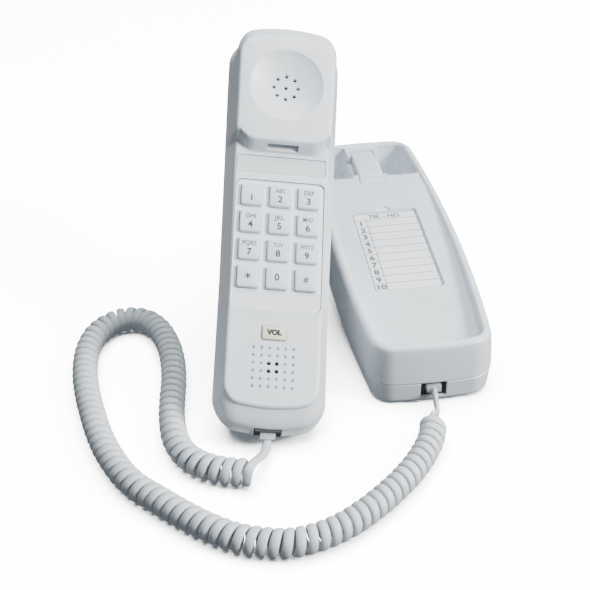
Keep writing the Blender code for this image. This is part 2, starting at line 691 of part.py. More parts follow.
def handset_back(frame):
    """The back shell with its two screw posts."""
    shell = shell_piece("handset_back", back_stations, back_ring, PARTING_Z - GAP / 2, PARTING_Z + 0.01, frame)
    board_low = board_top_z() - BOARD_THICKNESS
    for index, y in enumerate(handset_screw_places()):
        outside = back_z(y)
        join(shell, prism(f"handset_post_{index}", circle(POST_RADIUS, (0.0, y), 12), outside + 0.0010,
                          board_low - GAP, parent=frame))
        cut(shell, prism(f"handset_bore_{index}", circle(SCREW_RADIUS + GAP, (0.0, y), 12), -0.05,
                         board_low - 0.0030, parent=frame))
        head_high = outside + 0.0030
        cut(shell, prism(f"handset_sink_{index}", circle(SCREW_HEAD_RADIUS + GAP, (0.0, y), 12), -0.05,
                         head_high, parent=frame))
        screw = prism(f"handset_screw_{index + 1}", circle(SCREW_RADIUS, (0.0, y), 12), head_high - 0.0010,
                      board_low - 0.0036, finish="steel", parent=frame)
        join(screw, prism(f"handset_head_{index}", circle(SCREW_HEAD_RADIUS, (0.0, y), 12),
                          head_high - GAP - 0.0016, head_high - GAP, parent=frame))
    cut(shell, handset_mouth("back_cord_mouth", frame))


def panel_outline(margin):
    """The keypad panel's outline with its round corners."""
    middle = (PANEL_TOP_Y + PANEL_LOW_Y) / 2
    length = PANEL_TOP_Y - PANEL_LOW_Y
    return rounded(PANEL_WIDTH + 2 * margin, length + 2 * margin, PANEL_CORNER + margin, (0.0, middle))


def key_places():
    """Each key's name and its place on the keypad."""
    names = ("key_1", "key_2", "key_3", "key_4", "key_5", "key_6", "key_7", "key_8", "key_9",
             "key_star", "key_0", "key_hash")
    for index, name in enumerate(names):
        row, column = divmod(index, 3)
        yield name, (column - 1) * KEY_PITCH_X, KEYPAD_Y + (1.5 - row) * KEY_PITCH_Y


def mat_top_z():
    """Top of the rubber mat, just below a pressed key."""
    return KEY_BOTTOM_Z - KEY_TRAVEL - 0.0004


def board_top_z():
    """Top of the handset's circuit board, under the mat."""
    return mat_top_z() - MAT_THICKNESS - GAP


def keypad(frame):
    """The panel, its twelve keys with their stems, the rubber mat and the circuit board."""
    high = -PANEL_DEPTH
    panel = prism("keypad_panel", panel_outline(0.0), high - PANEL_THICKNESS, high, finish="panel", parent=frame)
    length = PANEL_TOP_Y - PANEL_LOW_Y
    middle = (PANEL_TOP_Y + PANEL_LOW_Y) / 2
    mat_outline = rounded(PANEL_WIDTH - 0.002, length - 0.002, 0.0020, (0.0, middle))
    mat = prism("key_mat", mat_outline, mat_top_z() - MAT_THICKNESS, mat_top_z(), finish="mat", parent=frame)
    for name, x, y in key_places():
        hole = rounded(KEY_WIDTH + 2 * GAP, KEY_HEIGHT + 2 * GAP, 0.0010, (x, y), 1)
        cut(panel, prism(f"{name}_hole", hole, high - 0.01, high + 0.01, parent=frame))
        cut(mat, prism(f"{name}_well", circle(KEY_STEM_RADIUS + 2 * GAP, (x, y), 8), -0.02, 0.0, parent=frame))
        rings = []
        for z, inset in ((KEY_BOTTOM_Z, 0.0), (KEY_TOP_Z - 0.0009, 0.0), (KEY_TOP_Z - 0.0002, 0.0006),
                         (KEY_TOP_Z, 0.0012)):
            outline = rounded(KEY_WIDTH - 2 * inset, KEY_HEIGHT - 2 * inset, 0.0010, steps=1)
            rings.append([(px, py, z) for px, py in outline])
        key = loft(name, rings, "keys", frame, Matrix.Translation((x, y, 0.0)))
        join(key, prism(f"{name}_stem", circle(KEY_STEM_RADIUS, (x, y), 8), KEY_BOTTOM_Z - KEY_STEM_LENGTH,
                        KEY_BOTTOM_Z + 0.001, parent=frame))
    top = board_top_z()
    block("handset_board", (-0.0200, VOLUME_Y - 0.0080, top - BOARD_THICKNESS), (0.0200, 0.0300, top),
          finish="board", parent=frame)


def handset_details(frame):
    """Label strip, volume button, receiver, microphone and the cord's socket and plug."""
    label = rounded(LABEL_WIDTH, LABEL_HEIGHT, 0.0010, (0.0, LABEL_Y))
    prism("label_strip", label, -LABEL_THICKNESS - GAP, -GAP, finish="label", parent=frame)
    volume = rounded(VOLUME_WIDTH, VOLUME_HEIGHT, 0.0008)
    prism("volume_button", volume, KEY_BOTTOM_Z, VOLUME_TOP_Z, finish="volume", parent=frame,
          matrix=Matrix.Translation((0.0, VOLUME_Y, 0.0)))
    receiver_high = -DISH_DEPTH - HANDSET_WALL - GAP
    prism("receiver", circle(RECEIVER_RADIUS, sides=24), receiver_high - RECEIVER_HEIGHT, receiver_high,
          finish="capsule", parent=frame, matrix=ear_matrix(), smooth=True)
    microphone_high = -HANDSET_WALL - GAP
    prism("microphone", circle(MICROPHONE_RADIUS, (0.0, MICROPHONE_Y), 20), microphone_high - MICROPHONE_HEIGHT,
          microphone_high, finish="capsule", parent=frame, smooth=True)
    outer_face = -HANDSET_HALF - HANDSET_BOW + 0.0010
    level = Matrix.Translation((0.0, 0.0, PARTING_Z))
    socket("handset_jack", outer_face, level, parent=frame)
    plug("handset_plug", outer_face, level, parent=frame)


# The cord -------------------------------------------------------------------------------------------

def smooth_route(points, count):
    """Evenly spaced points on a smooth curve through a route."""
    padded = [points[0] * 2 - points[1], *points, points[-1] * 2 - points[-2]]
    fine = []
    for before, start, end, after in zip(padded, padded[1:], padded[2:], padded[3:]):
        for step in range(12):
            t = step / 12
            fine.append(0.5 * (2 * start + (end - before) * t + (2 * before - 5 * start + 4 * end - after) * t ** 2
                               + (3 * start - before - 3 * end + after) * t ** 3))
    fine.append(points[-1])
    lengths = [0.0]
    for start, end in zip(fine, fine[1:]):
        lengths.append(lengths[-1] + (end - start).length)
    spaced = []
    index = 0
    for step in range(count):
        wanted = lengths[-1] * step / (count - 1)
        while index < len(fine) - 2 and lengths[index + 1] < wanted:
            index += 1
        share = (wanted - lengths[index]) / (lengths[index + 1] - lengths[index])
        spaced.append(fine[index].lerp(fine[index + 1], share))
    return spaced


def tube(name, points, radius, resolution):
    """A cord's tube along a route, with filled ends."""
    curve = bpy.data.curves.new(name, "CURVE")
    curve.dimensions = "3D"
    curve.bevel_depth = radius
    curve.bevel_resolution = resolution
    curve.use_fill_caps = True
    spline = curve.splines.new("POLY")
    spline.points.add(len(points) - 1)
    for control, point in zip(spline.points, points):
        control.co = (*point, 1.0)
    add_object(name, curve, "cord")


def cord(stand):
    """The curly cord as one fat tube, and the straight lead at each of its ends."""
    height = TABLE_Z + GAP + COIL_RADIUS
    route = [Vector((x, y, height)) for x, y in COIL_ROUTE]
    tube("coiled_cord", smooth_route(route, COIL_POINTS), COIL_RADIUS, 3)
    low = TABLE_Z + GAP + LEAD_RADIUS
    leave = stand @ Vector((0.0, -HANDSET_HALF - HANDSET_BOW - PLUG_PROUD + 0.0010 - GAP, PARTING_Z))
    onward = stand.to_3x3() @ Vector((0.0, -1.0, 0.0))
    start = route[0]
    into = (route[1] - route[0]).normalized()
    lead = [leave, leave + onward * 0.004, leave + onward * 0.0085 + Vector((0.0, 0.0, 0.0012)),
            Vector((-0.0862, -0.1560, low)), Vector((-0.0878, -0.1620, low + 0.0012)),
            start - into * (GAP + 0.0040) + Vector((0.0, 0.0, -0.0012)), start - into * (GAP + 0.0004)]
    tube("handset_lead", smooth_route(lead, LEAD_POINTS), LEAD_RADIUS, 2)
    leave = Vector((0.0, -BASE_HALF + 0.0010 - PLUG_PROUD - GAP, BASE_JACK_Z))
    end = route[-1]
    into = (route[-2] - route[-1]).normalized()
    lead = [leave, leave + Vector((0.0, -0.0050, -0.0004)), leave + Vector((-0.0010, -0.0105, -0.0028)),
            leave + Vector((-0.0030, -0.0150, -0.0042)), end - into * 0.0052 + Vector((0.0, 0.0, -0.0022)),
            end - into * (GAP + 0.0004)]
    tube("base_lead", smooth_route(lead, LEAD_POINTS), LEAD_RADIUS, 2)


def main():
    """Build the whole telephone."""
    clear_scene()
    base_housing()
    bottom_plate()
    feet()
    hook_lever()
    wall_hook()
    index_card()
    base_sockets()
    base_inside()
    stand = handset_matrix()
    frame = add_object("handset_frame", None, matrix=stand)
    handset_front(frame)
    handset_back(frame)
    keypad(frame)
    handset_details(frame)
    cord(stand)


main()
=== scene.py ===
"""The finished look of a corded desk telephone, standing off its base with its curly cord on the table."""
import math

import bmesh
import bpy
from mathutils import Matrix, Vector


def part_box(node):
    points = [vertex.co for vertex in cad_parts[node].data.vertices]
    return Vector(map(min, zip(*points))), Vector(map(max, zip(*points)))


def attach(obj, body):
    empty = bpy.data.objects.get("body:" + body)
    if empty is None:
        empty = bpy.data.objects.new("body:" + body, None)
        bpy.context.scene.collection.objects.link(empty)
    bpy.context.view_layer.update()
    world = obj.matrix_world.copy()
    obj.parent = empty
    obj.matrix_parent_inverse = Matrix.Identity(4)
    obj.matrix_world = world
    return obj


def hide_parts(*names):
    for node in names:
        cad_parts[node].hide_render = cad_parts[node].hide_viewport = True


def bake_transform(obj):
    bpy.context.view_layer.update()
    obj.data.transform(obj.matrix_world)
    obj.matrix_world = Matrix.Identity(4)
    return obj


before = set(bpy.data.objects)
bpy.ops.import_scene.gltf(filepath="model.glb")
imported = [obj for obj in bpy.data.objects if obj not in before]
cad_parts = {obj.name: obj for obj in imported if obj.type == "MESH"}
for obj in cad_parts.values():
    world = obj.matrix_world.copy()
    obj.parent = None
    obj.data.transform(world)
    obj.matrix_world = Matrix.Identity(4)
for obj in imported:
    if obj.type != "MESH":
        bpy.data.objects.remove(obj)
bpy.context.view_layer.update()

# Base: its plan, its sloping rim and tray, and the earpiece pocket
BASE_HALF = 0.1100
BASE_BOW = 0.0022
BASE_CORNER = 0.0125
BASE_HALF_FRONT = 0.0312
BASE_HALF_MIDDLE = 0.0372
BASE_HALF_FAR = 0.0318
BASE_WALL = 0.0024
BASE_PLACES = [-0.0960 + 0.0120 * step for step in range(17)]
SEAM_Z = 0.0120
SEAM_GAP = 0.0003
GAP = 0.0003
RIM_FRONT_Z = 0.0340
RIM_FAR_Z = 0.0385
TRAY_DEPTH_FRONT = 0.0078
TRAY_DEPTH_POCKET = 0.0003
POCKET_Y = 0.0660
POCKET_FLOOR_Z = 0.0160
RIDGE_HALF_WIDTH = 0.0098
CARD_Y = -0.0122
CARD_WIDTH = 0.0380
CARD_LENGTH = 0.0775
JACK_Z = 0.0072
JACK_HALF_WIDTH = 0.0065
JACK_HALF_HEIGHT = 0.0042

# Handset: X across, Y towards the earpiece, Z out of the keypad's face
HANDSET_HALF = 0.1040
HANDSET_END = 0.1090
HANDSET_HALF_CHIN = 0.0278
HANDSET_HALF_EAR = 0.0294
HANDSET_CORNER = 0.0120
HANDSET_BOW = 0.0050
END_REACH = 0.0440
CHIN_LEAN = 0.0065
CHIN_HOLLOW = 0.0015
CROWN_LEAN = 0.0055
CROWN_HOLLOW = 0.0060
BACK_LEAN = 0.0010
PARTING_Z = -0.0120
EAR_FOOT_Y = 0.0363
EAR_EDGE_Y = 0.0399
EAR_EDGE_Z = 0.0070
EAR_ROUND = 0.0085
EAR_LIFT = 0.0052
BACK_DEPTH = 0.0300
CHIN_RISE = 0.0040
CROWN_RISE = 0.0100
EAR_SLOPE = math.radians(6.0)
DISH_Y = 0.0705
DISH_RADIUS = 0.0195
DISH_DEPTH = 0.0046
SOUND_RING = 0.0063
KEY_PITCH_X = 0.0145
KEY_PITCH_Y = 0.0147
KEY_WIDTH = 0.0107
KEY_HEIGHT = 0.0116
KEY_TOP_Z = 0.0013
KEY_LOW_Z = -0.0030
KEYPAD_Y = -0.0100
PANEL_TOP_Y = 0.0205
PANEL_LOW_Y = -0.0485
PANEL_WIDTH = 0.0450
PANEL_MIDDLE = Vector((0.0, -0.0140, -0.0016))
LABEL_Y = 0.0295
VOLUME_Y = -0.0605
VOLUME_TOP_Z = 0.0009
HANDSET_SCREWS = (-0.0585, 0.0265)
MICROPHONE_Y = -0.0779
MICROPHONE_PITCH = 0.0039
SOUND_HOLE = (0.0010, 0.0011, 0.0120, -0.0040)
DIMPLE = (0.0006, 0.00125, 0.0030, 0.0001)
HANDSET_PLACES = sorted(
    [-0.0860, -0.0750, -0.0640, -0.0520, -0.0400, -0.0280, -0.0160, -0.0040, 0.0080, 0.0180, 0.0260, 0.0320]
    + [EAR_FOOT_Y - 0.0012 + 0.00055 * step for step in range(22)] + [0.0520, 0.0610, 0.0700, 0.0780, 0.0860])
HANDSET_TURN = (Matrix.Rotation(math.radians(5.8), 4, "Z") @ Matrix.Rotation(math.radians(38.6), 4, "X")
                @ Matrix.Rotation(math.radians(-13.4), 4, "Z"))

# Cord
TABLE_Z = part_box("foot_1")[0].z
COIL_RADIUS = 0.00675
CORD_WIDTH = 0.0045
CORD_THICKNESS = 0.0027
COIL_TURNS = 99
TURN_STEPS = 14
LIFTED_TURNS = 7
COIL_ROUTE = (
    (-0.0985, -0.1585), (-0.1095, -0.1552), (-0.1195, -0.1497), (-0.1272, -0.1410),
    (-0.1315, -0.1288), (-0.1325, -0.1130), (-0.1316, -0.0977), (-0.1302, -0.0836),
    (-0.1296, -0.0690), (-0.1308, -0.0515), (-0.1350, -0.0345), (-0.1414, -0.0243),
    (-0.1488, -0.0204), (-0.1568, -0.0207), (-0.1645, -0.0254), (-0.1708, -0.0345),
    (-0.1746, -0.0485), (-0.1756, -0.0656), (-0.1744, -0.0830), (-0.1719, -0.1002),
    (-0.1683, -0.1188), (-0.1635, -0.1352), (-0.1575, -0.1495), (-0.1506, -0.1605),
    (-0.1435, -0.1682), (-0.1362, -0.1762), (-0.1280, -0.1846), (-0.1192, -0.1925),
    (-0.1090, -0.1998), (-0.0975, -0.2046), (-0.0860, -0.2070), (-0.0745, -0.2057),
    (-0.0630, -0.2015), (-0.0515, -0.1945), (-0.0404, -0.1856), (-0.0304, -0.1763),
    (-0.0215, -0.1663), (-0.0142, -0.1560), (-0.0090, -0.1462), (-0.0063, -0.1372),
)

KEY_LEGENDS = {
    "key_1": ("1", ""), "key_2": ("2", "ABC"), "key_3": ("3", "DEF"), "key_4": ("4", "GHI"),
    "key_5": ("5", "JKL"), "key_6": ("6", "MNO"), "key_7": ("7", "PQRS"), "key_8": ("8", "TUV"),
    "key_9": ("9", "WXYZ"), "key_star": ("*", ""), "key_0": ("0", ""), "key_hash": ("#", ""),
}


# Materials ------------------------------------------------------------------------------------------

class Value:
    """A shader socket that takes part in Python arithmetic."""

    def __init__(self, finish, socket):
        self.finish = finish
        self.socket = socket

    def maths(self, operation, first, second):
        return self.finish.node("ShaderNodeMath", {"operation": operation}, {0: first, 1: second})

    def __add__(self, other):
        return self.maths("ADD", self, other)

    __radd__ = __add__

    def __mul__(self, other):
        return self.maths("MULTIPLY", self, other)

    __rmul__ = __mul__

    def __sub__(self, other):
        return self.maths("SUBTRACT", self, other)

    def __rsub__(self, other):
        return self.maths("SUBTRACT", other, self)


class Finish:
    """A Principled material that is wired node by node."""

    def __init__(self, name, **constants):
        self.material = bpy.data.materials.new(name)
        self.material.use_nodes = True
        self.tree = self.material.node_tree
        self.shader = self.tree.nodes["Principled BSDF"]
        for label, amount in constants.items():
            self.set(label.replace("_", " "), amount)

    def plug(self, socket, amount):
        """Link a value to a socket, or write a constant on it."""
        if isinstance(amount, Value):
            self.tree.links.new(amount.socket, socket)
        elif isinstance(amount, tuple) and len(amount) == 3 and socket.type == "RGBA":
            socket.default_value = (*amount, 1.0)
        else:
            socket.default_value = amount

    def set(self, label, amount):
        """Feed one socket of the Principled shader."""
        self.plug(self.shader.inputs[label], amount)

    def node(self, kind, settings=None, inputs=None, output=0):
        """Add a node, set it up, feed its sockets and give back one of its outputs."""
        made = self.tree.nodes.new(kind)
        for label, amount in (settings or {}).items():
            if label == "stops":
                for stop, (place, shade) in zip(made.color_ramp.elements, amount):
                    stop.position = place
                    stop.color = (shade, shade, shade, 1.0)
            else:
                setattr(made, label, amount)
        for label, amount in (inputs or {}).items():
            self.plug(made.inputs[label], amount)
        return Value(self, made.outputs[output])

    def place(self):
        """Object coordinates, in metres in the telephone's frame."""
        return self.node("ShaderNodeTexCoord", output="Object")

    def noise(self, scale, detail=2.0, roughness=0.5):
        """Smooth noise over the object, from 0 to 1."""
        return self.node("ShaderNodeTexNoise", {}, {
            "Vector": self.place(), "Scale": scale, "Detail": detail, "Roughness": roughness})

    def ramp(self, amount, low, high):
        """A value stretched between two thresholds."""
        return self.node("ShaderNodeValToRGB", {"stops": ((low, 0.0), (high, 1.0))}, {"Fac": amount})

    def mix(self, amount, first, second):
        """A blend of two colours."""
        return self.node("ShaderNodeMix", {"data_type": "RGBA"}, {0: amount, 6: first, 7: second}, output=2)

    def bump(self, height, strength, distance):
        """Relief on the surface."""
        self.set("Normal", self.node("ShaderNodeBump", {}, {
            "Height": height, "Strength": strength, "Distance": distance}))


def moulded(name, light, dark, roughness, grain=1500.0, relief=0.10, **constants):
    """Moulded plastic: a faint cloudiness in its colour, fine mould grain and slight rubbing."""
    finish = Finish(name, **constants)
    cloud = finish.noise(38.0, 3.0)
    fine = finish.noise(grain, 2.0, 0.6)
    finish.set("Base Color", finish.mix(finish.ramp(cloud, 0.35, 0.68), light, dark))
    rubbed = finish.noise(160.0, 4.0)
    finish.set("Roughness", roughness + 0.10 * rubbed + 0.05 * fine)
    finish.bump(fine + 0.35 * rubbed, relief, 0.00012)
    return finish.material


def printed(name, ink, roughness=0.55):
    """Printing ink with slightly uneven density."""
    finish = Finish(name)
    density = finish.noise(2600.0, 2.0)
    paler = tuple(part * 1.6 + 0.01 for part in ink)
    finish.set("Base Color", finish.mix(finish.ramp(density, 0.30, 0.80), ink, paler))
    finish.set("Roughness", roughness + 0.1 * density)
    finish.bump(density, 0.05, 0.00002)
    return finish.material


def card_stock():
    """White card with its fibres."""
    finish = Finish("card_stock")
    fibre = finish.noise(5200.0, 3.0, 0.7)
    cloud = finish.noise(240.0, 2.0)
    finish.set("Base Color", finish.mix(fibre * 0.5 + cloud * 0.3, (0.88, 0.89, 0.91), (0.80, 0.81, 0.84)))
    finish.set("Roughness", 0.72 + 0.12 * fibre)
    finish.bump(fibre, 0.12, 0.00003)
    return finish.material


def clear_film():
    """The thin clear window over the card."""
    finish = Finish("clear_film", Coat_Weight=0.0)
    smear = finish.noise(90.0, 3.0)
    finish.set("Base Color", finish.mix(smear, (0.95, 0.97, 0.98), (0.90, 0.93, 0.95)))
    finish.set("Roughness", 0.10 + 0.12 * smear)
    finish.set("Alpha", 0.05 + 0.05 * smear)
    finish.bump(smear, 0.05, 0.0001)
    return finish.material


def clear_plastic():
    """The plugs' clear polycarbonate."""
    finish = Finish("clear_plastic", IOR=1.58)
    flow = finish.noise(420.0, 2.0)
    finish.set("Base Color", finish.mix(flow, (0.86, 0.90, 0.92), (0.74, 0.79, 0.82)))
    finish.set("Roughness", 0.06 + 0.12 * flow)
    finish.set("Alpha", 0.42 + 0.16 * flow)
    finish.bump(flow, 0.10, 0.0001)
    return finish.material


def metal(name, colour, roughness, grain):
    """Plated metal with fine drawing marks."""
    finish = Finish(name, Metallic=1.0)
    marks = finish.noise(grain, 3.0)
    finish.set("Base Color", finish.mix(marks, colour, tuple(part * 0.8 for part in colour)))
    finish.set("Roughness", roughness + 0.15 * marks)
    finish.bump(marks, 0.08, 0.00003)
    return finish.material


def cord_jacket():
    """The cord's flexible jacket, with cloudy patches in its colour and a fine grain."""
    finish = Finish("cord_jacket", IOR=1.47)
    cloud = finish.noise(60.0, 3.0)
    grain = finish.noise(2200.0, 2.0)
    patches = finish.ramp(cloud, 0.35, 0.70)
    finish.set("Base Color", finish.mix(patches, (0.63, 0.665, 0.69), (0.57, 0.605, 0.63)))
    finish.set("Roughness", 0.36 + 0.12 * cloud + 0.06 * grain)
    finish.bump(grain, 0.10, 0.00005)
    return finish.material


SHELL = moulded("shell_plastic", (0.725, 0.765, 0.81), (0.69, 0.73, 0.775), 0.30)
KEYS = moulded("key_plastic", (0.68, 0.76, 0.85), (0.65, 0.73, 0.82), 0.36, relief=0.06)
PANEL = moulded("panel_plastic", (0.80, 0.83, 0.85), (0.77, 0.80, 0.83), 0.38, relief=0.06)
LABEL = moulded("label_strip", (0.62, 0.66, 0.68), (0.58, 0.62, 0.65), 0.26, relief=0.03)
VOLUME = moulded("volume_plastic", (0.74, 0.71, 0.57), (0.70, 0.67, 0.53), 0.40, relief=0.06)
DARK = moulded("socket_plastic", (0.020, 0.022, 0.022), (0.035, 0.036, 0.036), 0.42)
CAPSULE = moulded("capsule_plastic", (0.030, 0.030, 0.032), (0.045, 0.045, 0.047), 0.45)
RUBBER = moulded("foot_rubber", (0.028, 0.028, 0.028), (0.045, 0.045, 0.045), 0.70, grain=2600.0, relief=0.25)
MAT = moulded("silicone_mat", (0.30, 0.31, 0.32), (0.26, 0.27, 0.28), 0.62)
BOARD = moulded("circuit_board", (0.020, 0.150, 0.070), (0.014, 0.110, 0.050), 0.45, grain=900.0)
STEEL = metal("plated_steel", (0.56, 0.57, 0.59), 0.28, 900.0)
GOLD = metal("gold_contact", (0.86, 0.62, 0.24), 0.22, 2000.0)
INK = printed("black_ink", (0.010, 0.011, 0.013))
KEY_INK = printed("key_ink", (0.018, 0.021, 0.026))
CARD = card_stock()
WINDOW = clear_film()
CLEAR = clear_plastic()
JACKET = cord_jacket()


# Making pieces --------------------------------------------------------------------------------------

def link(name, mesh):
    """A new object for a mesh."""
    item = bpy.data.objects.new(name, mesh)
    bpy.context.scene.collection.objects.link(item)
    return item


def as_mesh(shape, name, angle=32.0):
    """A shaded mesh from a bmesh whose faces are turned outwards."""
    bmesh.ops.recalc_face_normals(shape, faces=shape.faces)
    mesh = bpy.data.meshes.new(name)
    shape.to_mesh(mesh)
    shape.free()
    mesh.shade_smooth()
    mesh.set_sharp_from_angle(angle=math.radians(angle))
    return mesh


def place(item, matrix, body, finish, nodes=(), name_slot=None):
    """Lay a piece in the telephone's frame, give it its finish and the body that it moves with."""
    item.data.transform(matrix)
    item.data.materials.clear()
    item.data.materials.append(finish)
    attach(item, body)
    if nodes:
        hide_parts(*nodes)
    return item


def carve(item, cutters, bevel=0.0, angle=30.0, segments=2):
    """Cut solids out of a piece, break its sharp edges and keep the result as its mesh."""
    for cutter in cutters:
        change = item.modifiers.new("cut", "BOOLEAN")
        change.operation = "DIFFERENCE"
        change.solver = "EXACT"
        change.object = cutter
    if bevel:
        edge = item.modifiers.new("edges", "BEVEL")
        edge.width = bevel
        edge.segments = segments
        edge.limit_method = "ANGLE"
        edge.angle_limit = math.radians(angle)
        edge.harden_normals = False
    settled = item.evaluated_get(bpy.context.evaluated_depsgraph_get())
    mesh = bpy.data.meshes.new_from_object(settled)
    item.modifiers.clear()
    item.data = mesh
    for cutter in cutters:
        bpy.data.objects.remove(cutter, do_unlink=True)
    mesh.shade_smooth()
    mesh.set_sharp_from_angle(angle=math.radians(38.0))
    even = item.modifiers.new("even_shading", "WEIGHTED_NORMAL")
    even.keep_sharp = True
    return item


def skin(rings, capped=True):
    """A closed bmesh drawn from ring to ring by extruding the first ring's edges."""
    shape = bmesh.new()
    verts = [shape.verts.new(point) for point in rings[0]]
    edges = [shape.edges.new((start, end)) for start, end in zip(verts, verts[1:] + verts[:1])]
    first = list(edges)
    for ring in rings[1:]:
        grown = bmesh.ops.extrude_edge_only(shape, edges=edges)["geom"]
        fresh = [part for part in grown if isinstance(part, bmesh.types.BMVert)]
        verts = match_rings(verts, fresh)
        for vert, point in zip(verts, ring):
            vert.co = point
        edges = [shape.edges.get((start, end)) for start, end in zip(verts, verts[1:] + verts[:1])]
    bmesh.ops.contextual_create(shape, geom=first)
    if capped:
        bmesh.ops.contextual_create(shape, geom=edges)
    return shape, verts


def match_rings(verts, fresh):
    """The extruded vertices in the order of the ring that they came from."""
    fresh = set(fresh)
    ordered = []
    for vert in verts:
        across = (edge.other_vert(vert) for edge in vert.link_edges)
        ordered.append(next(other for other in across if other in fresh))
    return ordered


def solid(name, rings, angle=32.0):
    """A closed object through rings."""
    shape, _ = skin(rings)
    return link(name, as_mesh(shape, name, angle))


def prism(name, outline, low, high):
    """A straight prism over a flat outline."""
    return solid(name, [[(x, y, z) for x, y in outline] for z in (low, high)])


def scooped(name, outline, floor, top, fillet):
    """A cutter with a flat floor that meets its walls in a fillet."""
    shape, _ = skin([[(x, y, z) for x, y in outline] for z in (floor, top)])
    corners = [edge for edge in shape.edges if abs(edge.verts[0].co.z - edge.verts[1].co.z) > 0.001
               and edge.calc_face_angle(0.0) > math.radians(50)]
    soften(shape, corners, 0.0022, 4)
    sole = [edge for edge in shape.edges if all(abs(vert.co.z - floor) < 1e-6 for vert in edge.verts)]
    bmesh.ops.bevel(shape, geom=sole, offset=fillet, segments=5, profile=0.5, affect="EDGES", material=-1,
                    clamp_overlap=True)
    return link(name, as_mesh(shape, name))


def circle(radius, centre=(0.0, 0.0), sides=24):
    """A round outline."""
    turns = [2 * math.pi * step / sides for step in range(sides)]
    return [(centre[0] + radius * math.cos(turn), centre[1] + radius * math.sin(turn)) for turn in turns]


def rounded(width, length, corner, centre=(0.0, 0.0), steps=6):
    """A rectangle with round corners."""
    points = []
    for quarter, (side_x, side_y) in enumerate(((1, 1), (-1, 1), (-1, -1), (1, -1))):
        middle_x = centre[0] + side_x * (width / 2 - corner)
        middle_y = centre[1] + side_y * (length / 2 - corner)
        for step in range(steps + 1):
            turn = math.pi / 2 * (quarter + step / steps)
            points.append((middle_x + corner * math.cos(turn), middle_y + corner * math.sin(turn)))
    return points


def crop(points, axis, limit, side):
    """The part of a flat outline beyond a limit along one axis, or short of it where side is -1."""
    kept = []
    for start, end in zip(points, points[1:] + points[:1]):
        if side * (start[axis] - limit) > 0:
            kept.append(start)
        if (start[axis] - limit) * (end[axis] - limit) < 0:
            share = (limit - start[axis]) / (end[axis] - start[axis])
            kept.append(tuple(a + share * (b - a) for a, b in zip(start, end)))
    return kept


def box_shape(size, centre=(0.0, 0.0, 0.0)):
    """A box's bmesh."""
    shape = bmesh.new()
    bmesh.ops.create_cube(shape, size=1.0)
    bmesh.ops.scale(shape, vec=Vector(size), verts=shape.verts)
    bmesh.ops.translate(shape, vec=Vector(centre), verts=shape.verts)
    return shape


def soften(shape, edges, width, segments):
    """Round some edges of a bmesh."""
    bmesh.ops.bevel(shape, geom=edges, offset=width, segments=segments, profile=0.5, affect="EDGES",
                    material=-1)


def loose_mesh(name, shape):
    """A mesh from a bmesh, for gathering with others."""
    mesh = bpy.data.meshes.new(name)
    shape.to_mesh(mesh)
    shape.free()
    return mesh


def bar(name, size, centre, bevel, segments, angle=40.0):
    """A box with its edges broken, made in place."""
    shape = box_shape(size, centre)
    soften(shape, shape.edges[:], bevel, segments)
    return link(name, as_mesh(shape, name, angle))


def frame_outline(low, high, gap):
    """A rectangle round two corners, with a gap."""
    return [(low.x - gap, low.y - gap), (high.x + gap, low.y - gap), (high.x + gap, high.y + gap),
            (low.x - gap, high.y + gap)]


def lettering(text, size, width=None, weight=0.018):
    """Flat letters as a mesh, centred, with a hair's thickness."""
    curve = bpy.data.curves.new("letters", "FONT")
    curve.body = text
    curve.size = size
    curve.align_x = "CENTER"
    curve.align_y = "CENTER"
    curve.resolution_u = 4
    curve.extrude = 0.000015
    curve.offset = size * weight
    item = link("letters", curve)
    settled = item.evaluated_get(bpy.context.evaluated_depsgraph_get())
    mesh = bpy.data.meshes.new_from_object(settled)
    bpy.data.objects.remove(item, do_unlink=True)
    if width:
        across = max(vert.co.x for vert in mesh.vertices) - min(vert.co.x for vert in mesh.vertices)
        mesh.transform(Matrix.Scale(width / across, 4, (1, 0, 0)))
    return mesh


def gather(name, parts):
    """One object from several meshes, each moved by its matrix."""
    shape = bmesh.new()
    for mesh, matrix in parts:
        mesh.transform(matrix)
        shape.from_mesh(mesh)
    mesh = bpy.data.meshes.new(name)
    shape.to_mesh(mesh)
    shape.free()
    return link(name, mesh)


# The camera and the light ---------------------------------------------------------------------------

def camera():
    """The camera, in front of the telephone, a little to its left and above it."""
    data = bpy.data.cameras.new("camera")
    data.sensor_width = 36.0
    data.lens = 76.6
    item = bpy.data.objects.new("camera", data)
    bpy.context.scene.collection.objects.link(item)
    turn = (Matrix.Rotation(math.radians(-6.65), 4, "Z") @ Matrix.Rotation(math.radians(90 - 33.04), 4, "X")
            @ Matrix.Rotation(math.radians(-1.58), 4, "Z"))
    item.matrix_world = Matrix.Translation((-0.1269, -0.6048, 0.3949)) @ turn
    bpy.context.scene.camera = item


def lamp(name, place_at, target, size, power, colour=(1.0, 1.0, 1.0), only=None):
    """A soft rectangular studio lamp, which may light one collection only."""
    data = bpy.data.lights.new(name, "AREA")
    data.shape = "RECTANGLE"
    data.size, data.size_y = size
    data.energy = power
    data.color = colour
    item = bpy.data.objects.new(name, data)
    bpy.context.scene.collection.objects.link(item)
    item.light_linking.receiver_collection = only
    aim = (Vector(target) - Vector(place_at)).to_track_quat("-Z", "Y")
    item.matrix_world = Matrix.Translation(place_at) @ aim.to_matrix().to_4x4()


